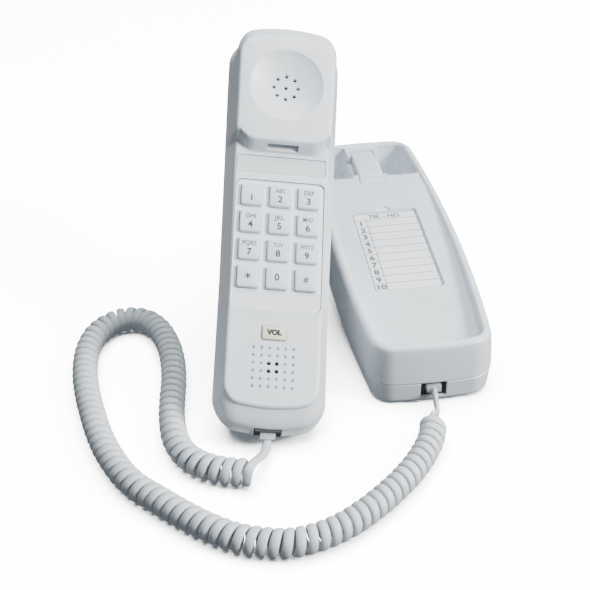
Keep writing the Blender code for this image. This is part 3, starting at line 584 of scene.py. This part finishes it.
def studio():
    """A white table with a lamp of its own, a dim sky, and lamps from the right and from above."""
    world = bpy.data.worlds.new("soft_sky")
    world.use_nodes = True
    sky = world.node_tree.nodes["Background"]
    sky.inputs["Color"].default_value = (0.86, 0.94, 1.0, 1.0)
    sky.inputs["Strength"].default_value = 0.23
    bpy.context.scene.world = world
    lamp("key_lamp", (0.95, -0.62, 0.80), (-0.03, -0.05, 0.04), (0.45, 0.45), 44.0)
    lamp("top_lamp", (0.10, 0.15, 1.20), (-0.03, -0.03, 0.0), (0.8, 0.6), 17.0, (0.92, 0.97, 1.0))
    shape = bmesh.new()
    bmesh.ops.create_grid(shape, x_segments=2, y_segments=2, size=3.0)
    bmesh.ops.translate(shape, vec=(0.0, 0.0, TABLE_Z - 0.0001), verts=shape.verts)
    table = link("table", as_mesh(shape, "table"))
    white = Finish("table_white", Roughness=0.9)
    white.set("Base Color", white.mix(white.noise(6.0), (0.90, 0.905, 0.91), (0.89, 0.895, 0.90)))
    table.data.materials.append(white.material)
    table.visible_diffuse = False
    table.visible_glossy = False
    ground = bpy.data.collections.new("ground")
    ground.objects.link(table)
    lamp("table_lamp", (0.0, 0.0, 2.4), (0.0, 0.0, 0.0), (2.6, 2.6), 1100.0, only=ground)


# The cord -------------------------------------------------------------------------------------------

def smooth_route(points, fineness):
    """Points on a smooth curve through a route."""
    padded = [points[0] * 2 - points[1], *points, points[-1] * 2 - points[-2]]
    fine = []
    for before, start, end, after in zip(padded, padded[1:], padded[2:], padded[3:]):
        for step in range(fineness):
            t = step / fineness
            square = (2 * before - 5 * start + 4 * end - after) * t ** 2
            cube = (3 * start - before - 3 * end + after) * t ** 3
            fine.append(0.5 * (2 * start + (end - before) * t + square + cube))
    return fine + [points[-1]]


def along(points, count):
    """Evenly spaced points along a fine line."""
    lengths = [0.0]
    for start, end in zip(points, points[1:]):
        lengths.append(lengths[-1] + (end - start).length)
    spaced = []
    index = 0
    for step in range(count):
        wanted = lengths[-1] * step / (count - 1)
        while index < len(points) - 2 and lengths[index + 1] < wanted:
            index += 1
        share = (wanted - lengths[index]) / max(1e-9, lengths[index + 1] - lengths[index])
        spaced.append(points[index].lerp(points[index + 1], share))
    return spaced


def helix(centres, turns, per_turn):
    """The cord's turns round a line that lies on the table, and the line's direction at each point."""
    count = turns * per_turn + 1
    first_turn = 0.85 * math.pi
    sweep = 2 * math.pi * turns + 0.65 * math.pi
    line = along(centres, count)
    radius = COIL_RADIUS - CORD_THICKNESS / 2
    up = Vector((0.0, 0.0, 1.0))
    points, axes = [], []
    for step, centre in enumerate(line):
        ahead = (line[min(step + 1, count - 1)] - line[max(step - 1, 0)]).normalized()
        side = ahead.cross(up)
        turn = first_turn + sweep * step / (count - 1)
        points.append(centre + radius * (math.cos(turn) * side + math.sin(turn) * up))
        axes.append(ahead)
    return points, axes


def flat_tube(name, points, wides):
    """A flat cord's skin along a path; wides gives the direction of its width at each point."""
    shape = bmesh.new()
    sides = 12
    rings = []
    for index, point in enumerate(points):
        ahead = (points[min(index + 1, len(points) - 1)] - points[max(index - 1, 0)]).normalized()
        wide = (wides[index] - ahead * wides[index].dot(ahead)).normalized()
        thin = ahead.cross(wide)
        ring = []
        for step in range(sides):
            turn = 2 * math.pi * step / sides
            across = math.copysign(abs(math.cos(turn)) ** 0.8, math.cos(turn)) * CORD_WIDTH / 2
            ring.append(shape.verts.new(point + across * wide + math.sin(turn) * CORD_THICKNESS / 2 * thin))
        rings.append(ring)
    for low, high in zip(rings, rings[1:]):
        for step in range(sides):
            after = (step + 1) % sides
            shape.faces.new((low[step], low[after], high[after], high[step]))
    shape.faces.new(rings[0])
    shape.faces.new(rings[-1])
    return link(name, as_mesh(shape, name, 60.0))


def softened(directions, reach):
    """Directions averaged with their neighbours."""
    return [sum(directions[max(0, index - reach):index + reach + 1], Vector()).normalized()
            for index in range(len(directions))]


def cord(stand):
    """The curly cord from the base's plug to the handset's, in two lengths: the base's length lies on the
    table and moves with the base; the handset's length rises to the handset's plug and stays fixed in place.
    """
    height = TABLE_Z + 0.0006 + COIL_RADIUS
    centres = smooth_route([Vector((x, y, height)) for x, y in COIL_ROUTE], 12)
    turns, axes = helix(centres, COIL_TURNS, TURN_STEPS)
    low = TABLE_Z + 0.0006 + CORD_WIDTH / 2
    leave = stand @ Vector((0.0, -HANDSET_END - 0.0020, PARTING_Z))
    onward = stand.to_3x3() @ Vector((0.0, -1.0, 0.0))
    start = (turns[1] - turns[0]).normalized()
    upper = []
    for step in range(41):
        t = step / 40
        upper.append(leave * (1 - t) ** 3 + (leave + onward * 0.0110) * (3 * t * (1 - t) ** 2)
                     + (turns[0] - start * 0.0110) * (3 * t ** 2 * (1 - t)) + turns[0] * t ** 3)
    leave_base = Vector((0.0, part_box("base_plug")[0].y + 0.0015, JACK_Z))
    lower = [turns[-4], turns[-1], Vector((-0.0050, -0.1300, low + 0.0040)),
             Vector((-0.0012, -0.1240, low + 0.0010)), Vector((-0.0006, -0.1180, JACK_Z - 0.0010)),
             leave_base]
    lower = smooth_route(lower, 8)[8:]
    points = upper[:-1] + turns + lower[1:]
    upright = Vector((0.0, 0.0, 1.0))
    across = stand.to_3x3() @ Vector((-1.0, 0.0, 0.0))
    wides = [across] * (len(upper) - 1) + axes + [upright] * (len(lower) - 1)
    wides = softened(wides, 9)
    split = len(upper) - 1 + TURN_STEPS * LIFTED_TURNS
    lengths = []
    for name, start, end in (("handset_cord", 0, split + 1), ("base_cord", split, len(points))):
        piece = flat_tube(name, points[start:end], wides[start:end])
        piece.data.materials.append(JACKET)
        path = points[start:end]
        length = sum((b - a).length for a, b in zip(path, path[1:]))
        lengths.append((piece, path, length))
    tail, tail_path, tail_length = lengths[0]
    main, main_path, main_length = lengths[1]
    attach(main, "base")
    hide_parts("coiled_cord", "base_lead")
    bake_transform(tail)
    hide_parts("handset_lead")


# The base -------------------------------------------------------------------------------------------

def rim_z(y):
    """Height of the base's sloping rim."""
    return RIM_FRONT_Z + (RIM_FAR_Z - RIM_FRONT_Z) * (y + BASE_HALF) / (2 * BASE_HALF)


def tray_z(y):
    """Height of the tray, which meets the rim at the pocket's edge."""
    share = min(1.0, (y + BASE_HALF) / (POCKET_Y + BASE_HALF))
    return rim_z(y) - TRAY_DEPTH_FRONT + (TRAY_DEPTH_FRONT - TRAY_DEPTH_POCKET) * share


def base_half_width(y):
    """Half the base's width at one place along it."""
    end = BASE_HALF_FAR if y > 0 else BASE_HALF_FRONT
    return BASE_HALF_MIDDLE - (BASE_HALF_MIDDLE - end) * (y / BASE_HALF) ** 2


def plan(inset, half, corner, bow, width, places):
    """A plan outline with round corners and bowed ends, moved in, from its near right corner."""
    radius = max(0.0012, corner - inset)
    middle_y = half - inset - radius
    points = []
    for quarter, (side_x, side_y) in enumerate(((1, -1), (1, 1), (-1, 1), (-1, -1))):
        middle_x = side_x * (width(side_y * middle_y) - inset - radius)
        for step in range(13):
            turn = math.pi / 2 * (quarter - 1 + step / 12)
            points.append([middle_x + radius * math.cos(turn), side_y * middle_y + radius * math.sin(turn)])
        if quarter % 2 == 0:
            points.extend([side_x * (width(y) - inset), y] for y in places[::side_x])
        else:
            end_half = width(side_y * middle_y) - inset
            points.extend([side_x * end_half * share, side_y * (half - inset)]
                          for share in (0.5, 0.25, 0.0, -0.25, -0.5))
    for point in points:
        near = max(0.0, (abs(point[1]) - middle_y) / radius)
        bowed = bow * max(0.0, 1 - (point[0] / width(point[1])) ** 2) * min(1.0, near * 1.3)
        point[1] += math.copysign(bowed, point[1])
    return [tuple(point) for point in points]


def base_outline(inset):
    """The base's plan outline, moved in."""
    return plan(inset, BASE_HALF, BASE_CORNER, BASE_BOW, base_half_width, BASE_PLACES)


def housing():
    """The upper housing: a rounded rim, a tray that dips towards the front, and the pocket."""
    rings = [[(x, y, SEAM_Z + SEAM_GAP / 2) for x, y in base_outline(0.0006)],
             [(x, y, SEAM_Z + SEAM_GAP / 2 + 0.0006) for x, y in base_outline(0.0)]]
    for inset, below in ((0.0004, 0.0100), (0.0009, 0.0040)):
        rings.append([(x, y, rim_z(y) - below) for x, y in base_outline(inset)])
    for step in range(1, 7):
        turn = math.pi / 2 * step / 6
        rings.append([(x, y, rim_z(y) - 0.0030 * (1 - math.sin(turn)))
                      for x, y in base_outline(0.0010 + 0.0030 * (1 - math.cos(turn)))])
    for step in range(1, 5):
        turn = math.pi / 2 * step / 4
        rings.append([(x, y, rim_z(y) - 0.0009 * (1 - math.cos(turn)))
                      for x, y in base_outline(0.0044 + 0.0010 * math.sin(turn))])
    for share, inset in ((0.55, 0.0056), (0.86, 0.0059), (0.96, 0.0064), (1.0, 0.0074)):
        rings.append([(x, y, rim_z(y) - 0.0009 - (rim_z(y) - tray_z(y) - 0.0009) * share
                       if rim_z(y) - tray_z(y) > 0.0012 else rim_z(y) - 0.0009 - 0.0002 * share)
                      for x, y in base_outline(inset)])
    shape, last = skin(rings, capped=False)
    ladder(shape, last)
    item = link("housing", as_mesh(shape, "housing", 40.0))
    top = RIM_FAR_Z + 0.02
    cutters = []
    whole = crop(base_outline(0.0058), 1, POCKET_Y, 1)
    for side in (-1, 1):
        half = crop(whole, 0, side * RIDGE_HALF_WIDTH, side)
        cutters.append(scooped(f"pocket_{side + 1}", half, POCKET_FLOOR_Z, top, 0.0020))
    lever_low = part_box("hook_lever")[0].z - 0.0034
    hinge_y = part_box("hook_lever")[1].y
    slot = frame_outline(Vector((-0.0073, POCKET_Y - 0.0004)), Vector((0.0073, hinge_y + 0.0006)), 0.0)
    cutters.append(prism("lever_slot", slot, lever_low, top))
    beside = frame_outline(Vector((-0.0105, POCKET_Y + 0.0030)), Vector((0.0105, hinge_y - 0.0050)), 0.0)
    cutters.append(prism("shoulders", beside, rim_z(POCKET_Y) - 0.0060, top))
    low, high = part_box("wall_hook")
    cutters.append(prism("hook_slot", frame_outline(low, high, GAP), low.z - GAP, top))
    recess = prism("card_recess", rounded(CARD_WIDTH + 0.0006, CARD_LENGTH + 0.0006, 0.0028), -0.0017, 0.004)
    recess.data.transform(card_matrix())
    cutters.append(recess)
    thumb = prism("thumb_notch", circle(0.0042, (0.0, CARD_LENGTH / 2 + 0.0008), 32), -0.0009, 0.004)
    thumb.data.transform(card_matrix())
    cutters.append(thumb)
    under = crop(base_outline(BASE_WALL + 0.0012), 1, POCKET_Y - BASE_WALL, -1)
    hollow = solid("under_tray", [[(x, y, 0.0) for x, y in under],
                                  [(x, y, tray_z(y) - 0.0036) for x, y in under]])
    cutters.append(hollow)
    cutters.append(prism("under_pocket", crop(base_outline(BASE_WALL + 0.0012), 1, POCKET_Y - 0.005, 1), 0.0,
                         POCKET_FLOOR_Z - BASE_WALL))
    cutters.extend(mouth_cutters())
    carve(item, cutters, bevel=0.00030)
    place(item, Matrix(), "base", SHELL, ["base_housing"], "shell")


def ladder(shape, ring):
    """Close a ring that is alike on its right and left by rungs across it."""
    ring = sorted(ring, key=lambda vert: vert.co.y)
    right = [vert for vert in ring if vert.co.x > 1e-5]
    middle = [vert for vert in ring if abs(vert.co.x) <= 1e-5]
    left = [vert for vert in ring if vert.co.x < -1e-5]
    right = [middle[0]] + right + [middle[-1]]
    left = [middle[0]] + left + [middle[-1]]
    for index in range(len(right) - 1):
        corners = []
        for vert in (right[index], right[index + 1], left[index + 1], left[index]):
            if vert not in corners:
                corners.append(vert)
        bmesh.ops.contextual_create(shape, geom=corners)


def mouth_cutters():
    """The mouths of the two sockets."""
    cutters = []
    for name, side in (("base_jack", -1), ("line_jack", 1)):
        low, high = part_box(name)
        near, far = sorted((side * (BASE_HALF + 0.01), low.y if side > 0 else high.y))
        mouth = frame_outline(Vector((low.x - GAP, near)), Vector((high.x + GAP, far)), 0.0)
        cutters.append(prism(f"{name}_mouth", mouth, low.z - GAP, high.z + GAP))
    return cutters


def lower_shell():
    """The bottom plate, a tub with rounded lower edges."""
    rings = []
    for step in range(5):
        turn = math.pi / 2 * step / 4
        rings.append([(x, y, 0.0022 * (1 - math.cos(turn))) for x, y in
                      base_outline(0.0014 + 0.0026 * (1 - math.sin(turn)))])
    rings.append([(x, y, SEAM_Z - SEAM_GAP / 2 - 0.0005) for x, y in base_outline(0.0004)])
    rings.append([(x, y, SEAM_Z - SEAM_GAP / 2) for x, y in base_outline(0.0009)])
    item = solid("lower_shell", rings, 40.0)
    hollow = prism("plate_hollow", base_outline(BASE_WALL + 0.0012), BASE_WALL, SEAM_Z + 0.01)
    holes = []
    for name in ("base_screw_1", "base_screw_2"):
        low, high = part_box(name)
        middle = (low + high) / 2
        radius = (high.x - low.x) / 2 + 0.0003
        holes.append(prism("screw_hole", circle(radius, (middle.x, middle.y), 32), -0.01, 0.0015))
        holes.append(prism("shank_hole", circle(0.0018, (middle.x, middle.y), 24), -0.01, 0.01))
    carve(item, [hollow, *mouth_cutters(), *holes], bevel=0.00022)
    place(item, Matrix(), "base", SHELL, ["bottom_plate"], "shell")


def lever_and_hook():
    """The hook lever in its ridge and the wall hook in the tray's edge."""
    low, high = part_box("hook_lever")
    middle = (low + high) / 2
    shape = box_shape(high - low, middle)
    for vert in shape.verts:
        if vert.co.z > middle.z:
            vert.co.z = rim_z(vert.co.y) - (0.0014 if vert.co.y > middle.y else 0.0004)
    soften(shape, shape.edges[:], 0.0008, 4)
    lever = link("lever", as_mesh(shape, "lever", 40.0))
    place(lever, Matrix(), "lever", SHELL, ["hook_lever"], "shell")
    low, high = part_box("wall_hook")
    middle = (low + high) / 2
    hook = bar("hook", high - low, middle, 0.0005, 3)
    for vert in hook.data.vertices:
        if vert.co.z > middle.z:
            vert.co.z += tray_z(vert.co.y) - tray_z(middle.y)
    place(hook, Matrix(), "hook", SHELL, ["wall_hook"], "shell")


def card_matrix():
    """The tray's own frame at the card's middle."""
    slope = math.atan2(tray_z(CARD_Y + 0.01) - tray_z(CARD_Y), 0.01)
    return Matrix.Translation((0.0, CARD_Y, tray_z(CARD_Y))) @ Matrix.Rotation(slope, 4, "X")


def strip(start, end, width):
    """A thin printed line between two flat points."""
    along_line = Vector(end) - Vector(start)
    mesh = loose_mesh("strip", box_shape((along_line.length + width, width, 0.00002)))
    turn = Matrix.Rotation(math.atan2(along_line.y, along_line.x), 4, "Z")
    middle = (Vector(start) + Vector(end)) / 2
    return mesh, Matrix.Translation((middle.x, middle.y, 0.0)) @ turn


def card_print():
    """The card's ruled form: a frame, a heading, a number column and ten rows."""
    half_x = CARD_WIDTH / 2 - 0.0007
    half_y = CARD_LENGTH / 2 - 0.0009
    corner = 0.0016
    parts = []
    outline = rounded(2 * half_x, 2 * half_y, corner, steps=4)
    for start, end in zip(outline, outline[1:] + outline[:1]):
        if (Vector(end) - Vector(start)).length > 1e-6:
            parts.append(strip(start, end, 0.00055))
    heading = half_y - 0.0066
    row = (heading + half_y) / 10
    for index in range(10):
        y = heading - row * index
        parts.append(strip((-half_x, y), (half_x, y), 0.00036))
    column = -half_x + 0.0068
    parts.append(strip((column, -half_y), (column, heading), 0.00036))
    up = Matrix.Translation((0.0, (heading + half_y) / 2 - 0.0002, 0.0))
    parts.append((lettering("TEL - NO.", 0.0052, 0.0190, 0.030), up))
    for number in range(1, 11):
        y = heading - row * (number - 0.5)
        middle = Matrix.Translation(((column - half_x) / 2, y - 0.0001, 0.0))
        parts.append((lettering(str(number), 0.0058, weight=0.045), middle))
    item = gather("card_print", parts)
    place(item, card_matrix() @ Matrix.Translation((0.0, 0.0, -0.00105)), "base", INK)
    repaint("index_card", CARD)
    repaint("card_window", WINDOW)


def repaint(node, finish):
    """Give a CAD node its finish."""
    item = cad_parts[node]
    for index in range(len(item.material_slots)):
        item.material_slots[index].material = finish


def plug_piece(name, node, body, matrix):
    """A clear plug with its latch, and its four gold contacts."""
    shape = box_shape((0.0075, 0.0115, 0.0040), (0.0, 0.0, 0.0008))
    soften(shape, shape.edges[:], 0.0004, 2)
    latch = box_shape((0.0030, 0.0100, 0.0008))
    soften(latch, latch.edges[:], 0.0002, 2)
    slope = Matrix.Rotation(math.radians(7), 3, "X")
    bmesh.ops.rotate(latch, cent=(0.0, 0.004, 0.0), matrix=slope, verts=latch.verts)
    bmesh.ops.translate(latch, vec=(0.0, -0.0006, -0.0019), verts=latch.verts)
    item = gather(name, [(loose_mesh(name, shape), Matrix()), (loose_mesh("latch", latch), Matrix())])
    item.data.shade_smooth()
    item.data.set_sharp_from_angle(angle=math.radians(40))
    place(item, matrix, body, CLEAR, [node], "plug")
    contacts = [strip((x, 0.0030), (x, 0.0052), 0.0005) for x in (-0.0015, -0.0005, 0.0005, 0.0015)]
    thin = Matrix.Translation((0.0, 0.0, 0.00285))
    gold = gather(f"{name}_contacts", [(mesh, thin @ turn) for mesh, turn in contacts])
    place(gold, matrix, body, GOLD)
    return item


# The handset ----------------------------------------------------------------------------------------

def ear_z(y):
    """Height of the earpiece block's face."""
    return EAR_EDGE_Z + math.tan(EAR_SLOPE) * (y - EAR_EDGE_Y)


def ear_matrix():
    """The earpiece block's own frame at the middle of the dish."""
    return Matrix.Translation((0.0, DISH_Y, ear_z(DISH_Y))) @ Matrix.Rotation(EAR_SLOPE, 4, "X")


def handset_half_width(y):
    """Half the handset's width at one place along it."""
    share = min(1.0, max(0.0, (y + 0.03) / 0.11))
    return HANDSET_HALF_CHIN + (HANDSET_HALF_EAR - HANDSET_HALF_CHIN) * share


def handset_outline(inset):
    """The handset's plan outline, moved in."""
    return plan(inset, HANDSET_HALF, HANDSET_CORNER, HANDSET_BOW, handset_half_width, HANDSET_PLACES)


def face_z(y, within):
    """Height of the handset's face at a distance within its edge, where the earpiece block steps up."""
    beyond = max(0.0, 1 - within / EAR_ROUND)
    y -= EAR_LIFT * beyond ** 2
    climb = min(1.0, max(0.0, (y - EAR_FOOT_Y) / (EAR_EDGE_Y - EAR_FOOT_Y)))
    blunt = max(0.0, 1 - abs(y - EAR_EDGE_Y) / 0.0012)
    return ear_z(y) * climb - 0.0004 * blunt ** 2


def back_z(y, within=0.0):
    """Depth of the handset's curved back."""
    middle = 0.005
    rise = CROWN_RISE if y > middle else CHIN_RISE
    curve = abs(y - middle) / (HANDSET_HALF + math.copysign(middle, middle - y))
    return rise * min(1.0, curve) ** 2.2 - BACK_DEPTH


def leaned(points, chin, crown):
    """An outline whose ends are drawn in towards the middle by the size of each shift."""
    moved = []
    for x, y in points:
        near = min(1.0, max(0.0, (abs(y) - HANDSET_HALF + END_REACH) / END_REACH))
        shift = (crown if y > 0 else chin) * near ** 2 * (3 - 2 * near)
        moved.append((x, y - math.copysign(shift, y)))
    return moved


def half_shell(name, level, height, draft, radius, chin, crown):
    """One half of the handset: a drafted wall from the parting plane, a rounded edge and a face."""
    way = 1 if level > PARTING_Z else -1

    def bend(y):
        """Height of the edge's round, limited by the wall."""
        return min(radius, abs(height(y, 0.0) - level) * 0.85)

    def ring(inset, share, rule):
        """The outline at one inset and share of the lean, with its heights by a rule."""
        outline = leaned(handset_outline(inset), *(lean * share ** 2 - hollow * 4 * share * (1 - share)
                                                   for lean, hollow in (chin, crown)))
        return [(x, y, rule(y)) for x, y in outline]

    rings = [ring(0.0004, 0.0, lambda y: level), ring(0.0, 0.0, lambda y: level + way * 0.0004)]
    for share in (0.2, 0.4, 0.6, 0.8, 1.0):
        rings.append(ring(draft * share, share,
                          lambda y, up=share: level + (height(y, 0.0) - level - way * bend(y)) * up))
    for step in range(1, 8):
        turn = math.pi / 2 * step / 7
        rings.append(ring(draft + radius * (1 - math.cos(turn)), 1.0,
                          lambda y, left=1 - math.sin(turn): height(y, 0.0) - way * bend(y) * left))
    for within in (0.0005, 0.0011, 0.0018, 0.0027, 0.0038, 0.0051, 0.0067, EAR_ROUND):
        rings.append(ring(draft + radius + within, 1.0, lambda y, inner=within: height(y, inner)))
    shape, last = skin(rings, capped=False)
    ladder(shape, last)
    return link(name, as_mesh(shape, name, 45.0))


def front_shell(stand):
    """The handset's front with its dish, sound holes, keypad opening and dimples."""
    item = half_shell("front_shell", PARTING_Z + 0.00015, face_z, 0.0042, 0.0019,
                      (CHIN_LEAN, CHIN_HOLLOW), (CROWN_LEAN, CROWN_HOLLOW))
    cutters = [dish()]
    for spot in [(0.0, 0.0), *circle(SOUND_RING, sides=8)]:
        hole = prism("ear_hole", circle(0.0010, spot, 20), -0.0090, 0.0)
        hole.data.transform(ear_matrix())
        cutters.append(hole)
    cutters.append(grille())
    middle = (0.0, (PANEL_TOP_Y + PANEL_LOW_Y) / 2)
    opening = rounded(PANEL_WIDTH + 2 * GAP, PANEL_TOP_Y - PANEL_LOW_Y + 2 * GAP, 0.0033, middle, 8)
    cutters.append(prism("keypad_opening", opening, -0.0090, 0.01))
    cutters.append(prism("volume_opening", rounded(0.0126, 0.0078, 0.0010, (0.0, VOLUME_Y)), -0.0090, 0.01))
    cutters.append(prism("label_recess", rounded(0.0461, 0.0094, 0.0010, (0.0, LABEL_Y)), -0.0013, 0.01))
    notch = frame_outline(Vector((-0.0080, EAR_FOOT_Y - 0.006)), Vector((0.0080, EAR_EDGE_Y + 0.006)), 0.0)
    cutters.append(prism("notch", notch, 0.0012, 0.0050))
    cutters.append(cord_mouth())
    carve(item, cutters, bevel=0.00032)
    place(item, stand, "handset", SHELL, ["handset_front"], "shell")


def dish():
    """The dish's cutter: a shallow sphere whose rim flares out softly."""
    sphere = (DISH_RADIUS ** 2 + DISH_DEPTH ** 2) / (2 * DISH_DEPTH)
    rings = []
    for step in range(15):
        across = 0.0012 + (DISH_RADIUS - 0.0010 - 0.0012) * step / 14
        depth = DISH_DEPTH - (sphere - math.sqrt(sphere ** 2 - across ** 2))
        rings.append([(x, y, -depth) for x, y in circle(across, sides=96)])
    edge_depth = -rings[-1][0][2]
    for step in range(1, 6):
        share = step / 5
        across = DISH_RADIUS - 0.0010 + 0.0012 * share
        level = -edge_depth * (1 - share) ** 1.8 + 0.00004 * share
        rings.append([(x, y, level) for x, y in circle(across, sides=96)])
    rings.append([(x, y, 0.01) for x, y in circle(DISH_RADIUS + 0.0003, sides=96)])
    item = solid("dish_cutter", rings, 60.0)
    item.data.transform(ear_matrix())
    return item


def grille():
    """Six rows of six dimples over the microphone; the four in the middle go right through.

    SOUND_HOLE and DIMPLE give a cone's lower radius, upper radius, depth and level.
    """
    shape = bmesh.new()
    for row in range(6):
        for column in range(6):
            spot = ((column - 2.5) * MICROPHONE_PITCH, MICROPHONE_Y + (row - 2.5) * MICROPHONE_PITCH)
            deep = row in (2, 3) and column in (2, 3)
            low, high, depth, level = SOUND_HOLE if deep else DIMPLE
            made = bmesh.ops.create_cone(shape, cap_ends=True, segments=16, radius1=low, radius2=high,
                                         depth=depth)
            bmesh.ops.translate(shape, vec=(*spot, level), verts=made["verts"])
    return link("grille_cutter", as_mesh(shape, "grille_cutter", 40.0))


def cord_mouth():
    """The mouth of the cord's socket in the chin."""
    half = JACK_HALF_WIDTH + GAP
    mouth = frame_outline(Vector((-half, -HANDSET_END - 0.01)), Vector((half, -HANDSET_END + 0.0150)), 0.0)
    return prism("cord_mouth", mouth, PARTING_Z - JACK_HALF_HEIGHT - GAP, PARTING_Z + JACK_HALF_HEIGHT + GAP)


def back_shell(stand):
    """The handset's curved back with the two sunk screws."""
    item = half_shell("back_shell", PARTING_Z - 0.00015, back_z, 0.0012, 0.0070,
                      (BACK_LEAN, 0.0), (BACK_LEAN, 0.0))
    holes = [prism("screw_sink", circle(0.0031, (0.0, y), 32), -0.05, back_z(y) + 0.0030)
             for y in HANDSET_SCREWS]
    carve(item, [cord_mouth(), *holes], bevel=0.00025)
    place(item, stand, "handset", SHELL, ["handset_back"], "shell")


def key_cap(name, stand, x, y):
    """One key: a block with softened corners and edges, and its legend."""
    shape = box_shape((KEY_WIDTH, KEY_HEIGHT, KEY_TOP_Z - KEY_LOW_Z), (0.0, 0.0, (KEY_TOP_Z + KEY_LOW_Z) / 2))
    upright = [edge for edge in shape.edges if abs(edge.verts[0].co.z - edge.verts[1].co.z) > 0.001]
    soften(shape, upright, 0.0011, 4)
    roof = [edge for edge in shape.edges if all(abs(vert.co.z - KEY_TOP_Z) < 1e-6 for vert in edge.verts)]
    soften(shape, roof, 0.0006, 3)
    item = link(f"{name}_top", as_mesh(shape, name, 50.0))
    seat = stand @ Matrix.Translation((x, y, 0.0))
    place(item, seat, f"{name}_cap", KEYS, [name], "keys")
    digit, letters = KEY_LEGENDS[name]
    level = KEY_TOP_Z + 0.00002
    size, low = {"0": (0.0050, 0.0), "#": (0.0041, 0.0)}.get(digit, (0.0049, -0.0021))
    if digit == "*":
        parts = []
        for turn in (math.pi / 2, math.pi / 6, -math.pi / 6):
            reach = Vector((math.cos(turn), math.sin(turn))) * 0.0015
            mesh, matrix = strip(-reach, reach, 0.00055)
            parts.append((mesh, Matrix.Translation((0.0, 0.0, level)) @ matrix))
    else:
        parts = [(lettering(digit, size, weight=0.024), Matrix.Translation((0.0, low, level)))]
    if letters:
        width = 0.0070 if len(letters) == 4 else 0.0051
        parts.append((lettering(letters, 0.0034, width), Matrix.Translation((0.0, 0.0025, level))))
    legend = gather(f"{name}_legend", parts)
    place(legend, seat, f"{name}_cap", KEY_INK)


def keypad(stand):
    """Twelve keys in their panel."""
    for index, name in enumerate(KEY_LEGENDS):
        row, column = divmod(index, 3)
        key_cap(name, stand, (column - 1) * KEY_PITCH_X, KEYPAD_Y + (1.5 - row) * KEY_PITCH_Y)
    repaint("keypad_panel", PANEL)


def volume(stand):
    """The volume button and its word."""
    item = bar("volume_top", (0.0120, 0.0072, 0.0039), (0.0, 0.0, VOLUME_TOP_Z - 0.00195), 0.0006, 3, 50.0)
    seat = stand @ Matrix.Translation((0.0, VOLUME_Y, 0.0))
    place(item, seat, "volume", VOLUME, ["volume_button"], "volume")
    word_place = Matrix.Translation((0.0, 0.0, VOLUME_TOP_Z + 0.00002))
    word = gather("volume_word", [(lettering("VOL", 0.0036, weight=0.075), word_place)])
    place(word, seat, "volume", INK)


def inner_parts():
    """Finishes of the pieces that keep their CAD shape."""
    finishes = {"label_strip": LABEL, "key_mat": MAT}
    finishes.update(dict.fromkeys(("handset_board", "base_board"), BOARD))
    finishes.update(dict.fromkeys(("receiver", "microphone", "ringer", "hook_switch"), CAPSULE))
    finishes.update(dict.fromkeys(("base_jack", "line_jack", "handset_jack"), DARK))
    finishes.update(dict.fromkeys(("foot_1", "foot_2", "foot_3", "foot_4"), RUBBER))
    finishes.update(dict.fromkeys(("hook_pin", "weight_plate", "base_screw_1", "base_screw_2",
                                   "handset_screw_1", "handset_screw_2"), STEEL))
    for node, finish in finishes.items():
        repaint(node, finish)


def handset_stand():
    """Where the handset stands, read from its keypad panel."""
    low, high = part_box("keypad_panel")
    return Matrix.Translation((low + high) / 2 - HANDSET_TURN.to_3x3() @ PANEL_MIDDLE) @ HANDSET_TURN


def plug_matrices():
    """The frames of the two plugs, each at its body's middle."""
    low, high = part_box("base_plug")
    base = Matrix.Translation((low + high) / 2)
    low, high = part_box("handset_plug")
    turn = HANDSET_TURN.to_3x3().to_4x4()
    return base, Matrix.Translation((low + high) / 2) @ turn


camera()
STAND = handset_stand()
BASE_PLUG, HANDSET_PLUG = plug_matrices()
PLUGS = {
    "base": plug_piece("clear_base_plug", "base_plug", "base", BASE_PLUG),
    "handset": plug_piece("clear_handset_plug", "handset_plug", "handset", HANDSET_PLUG),
}
cord(STAND)
housing()
lower_shell()
lever_and_hook()
card_print()
front_shell(STAND)
back_shell(STAND)
keypad(STAND)
volume(STAND)
inner_parts()
studio()
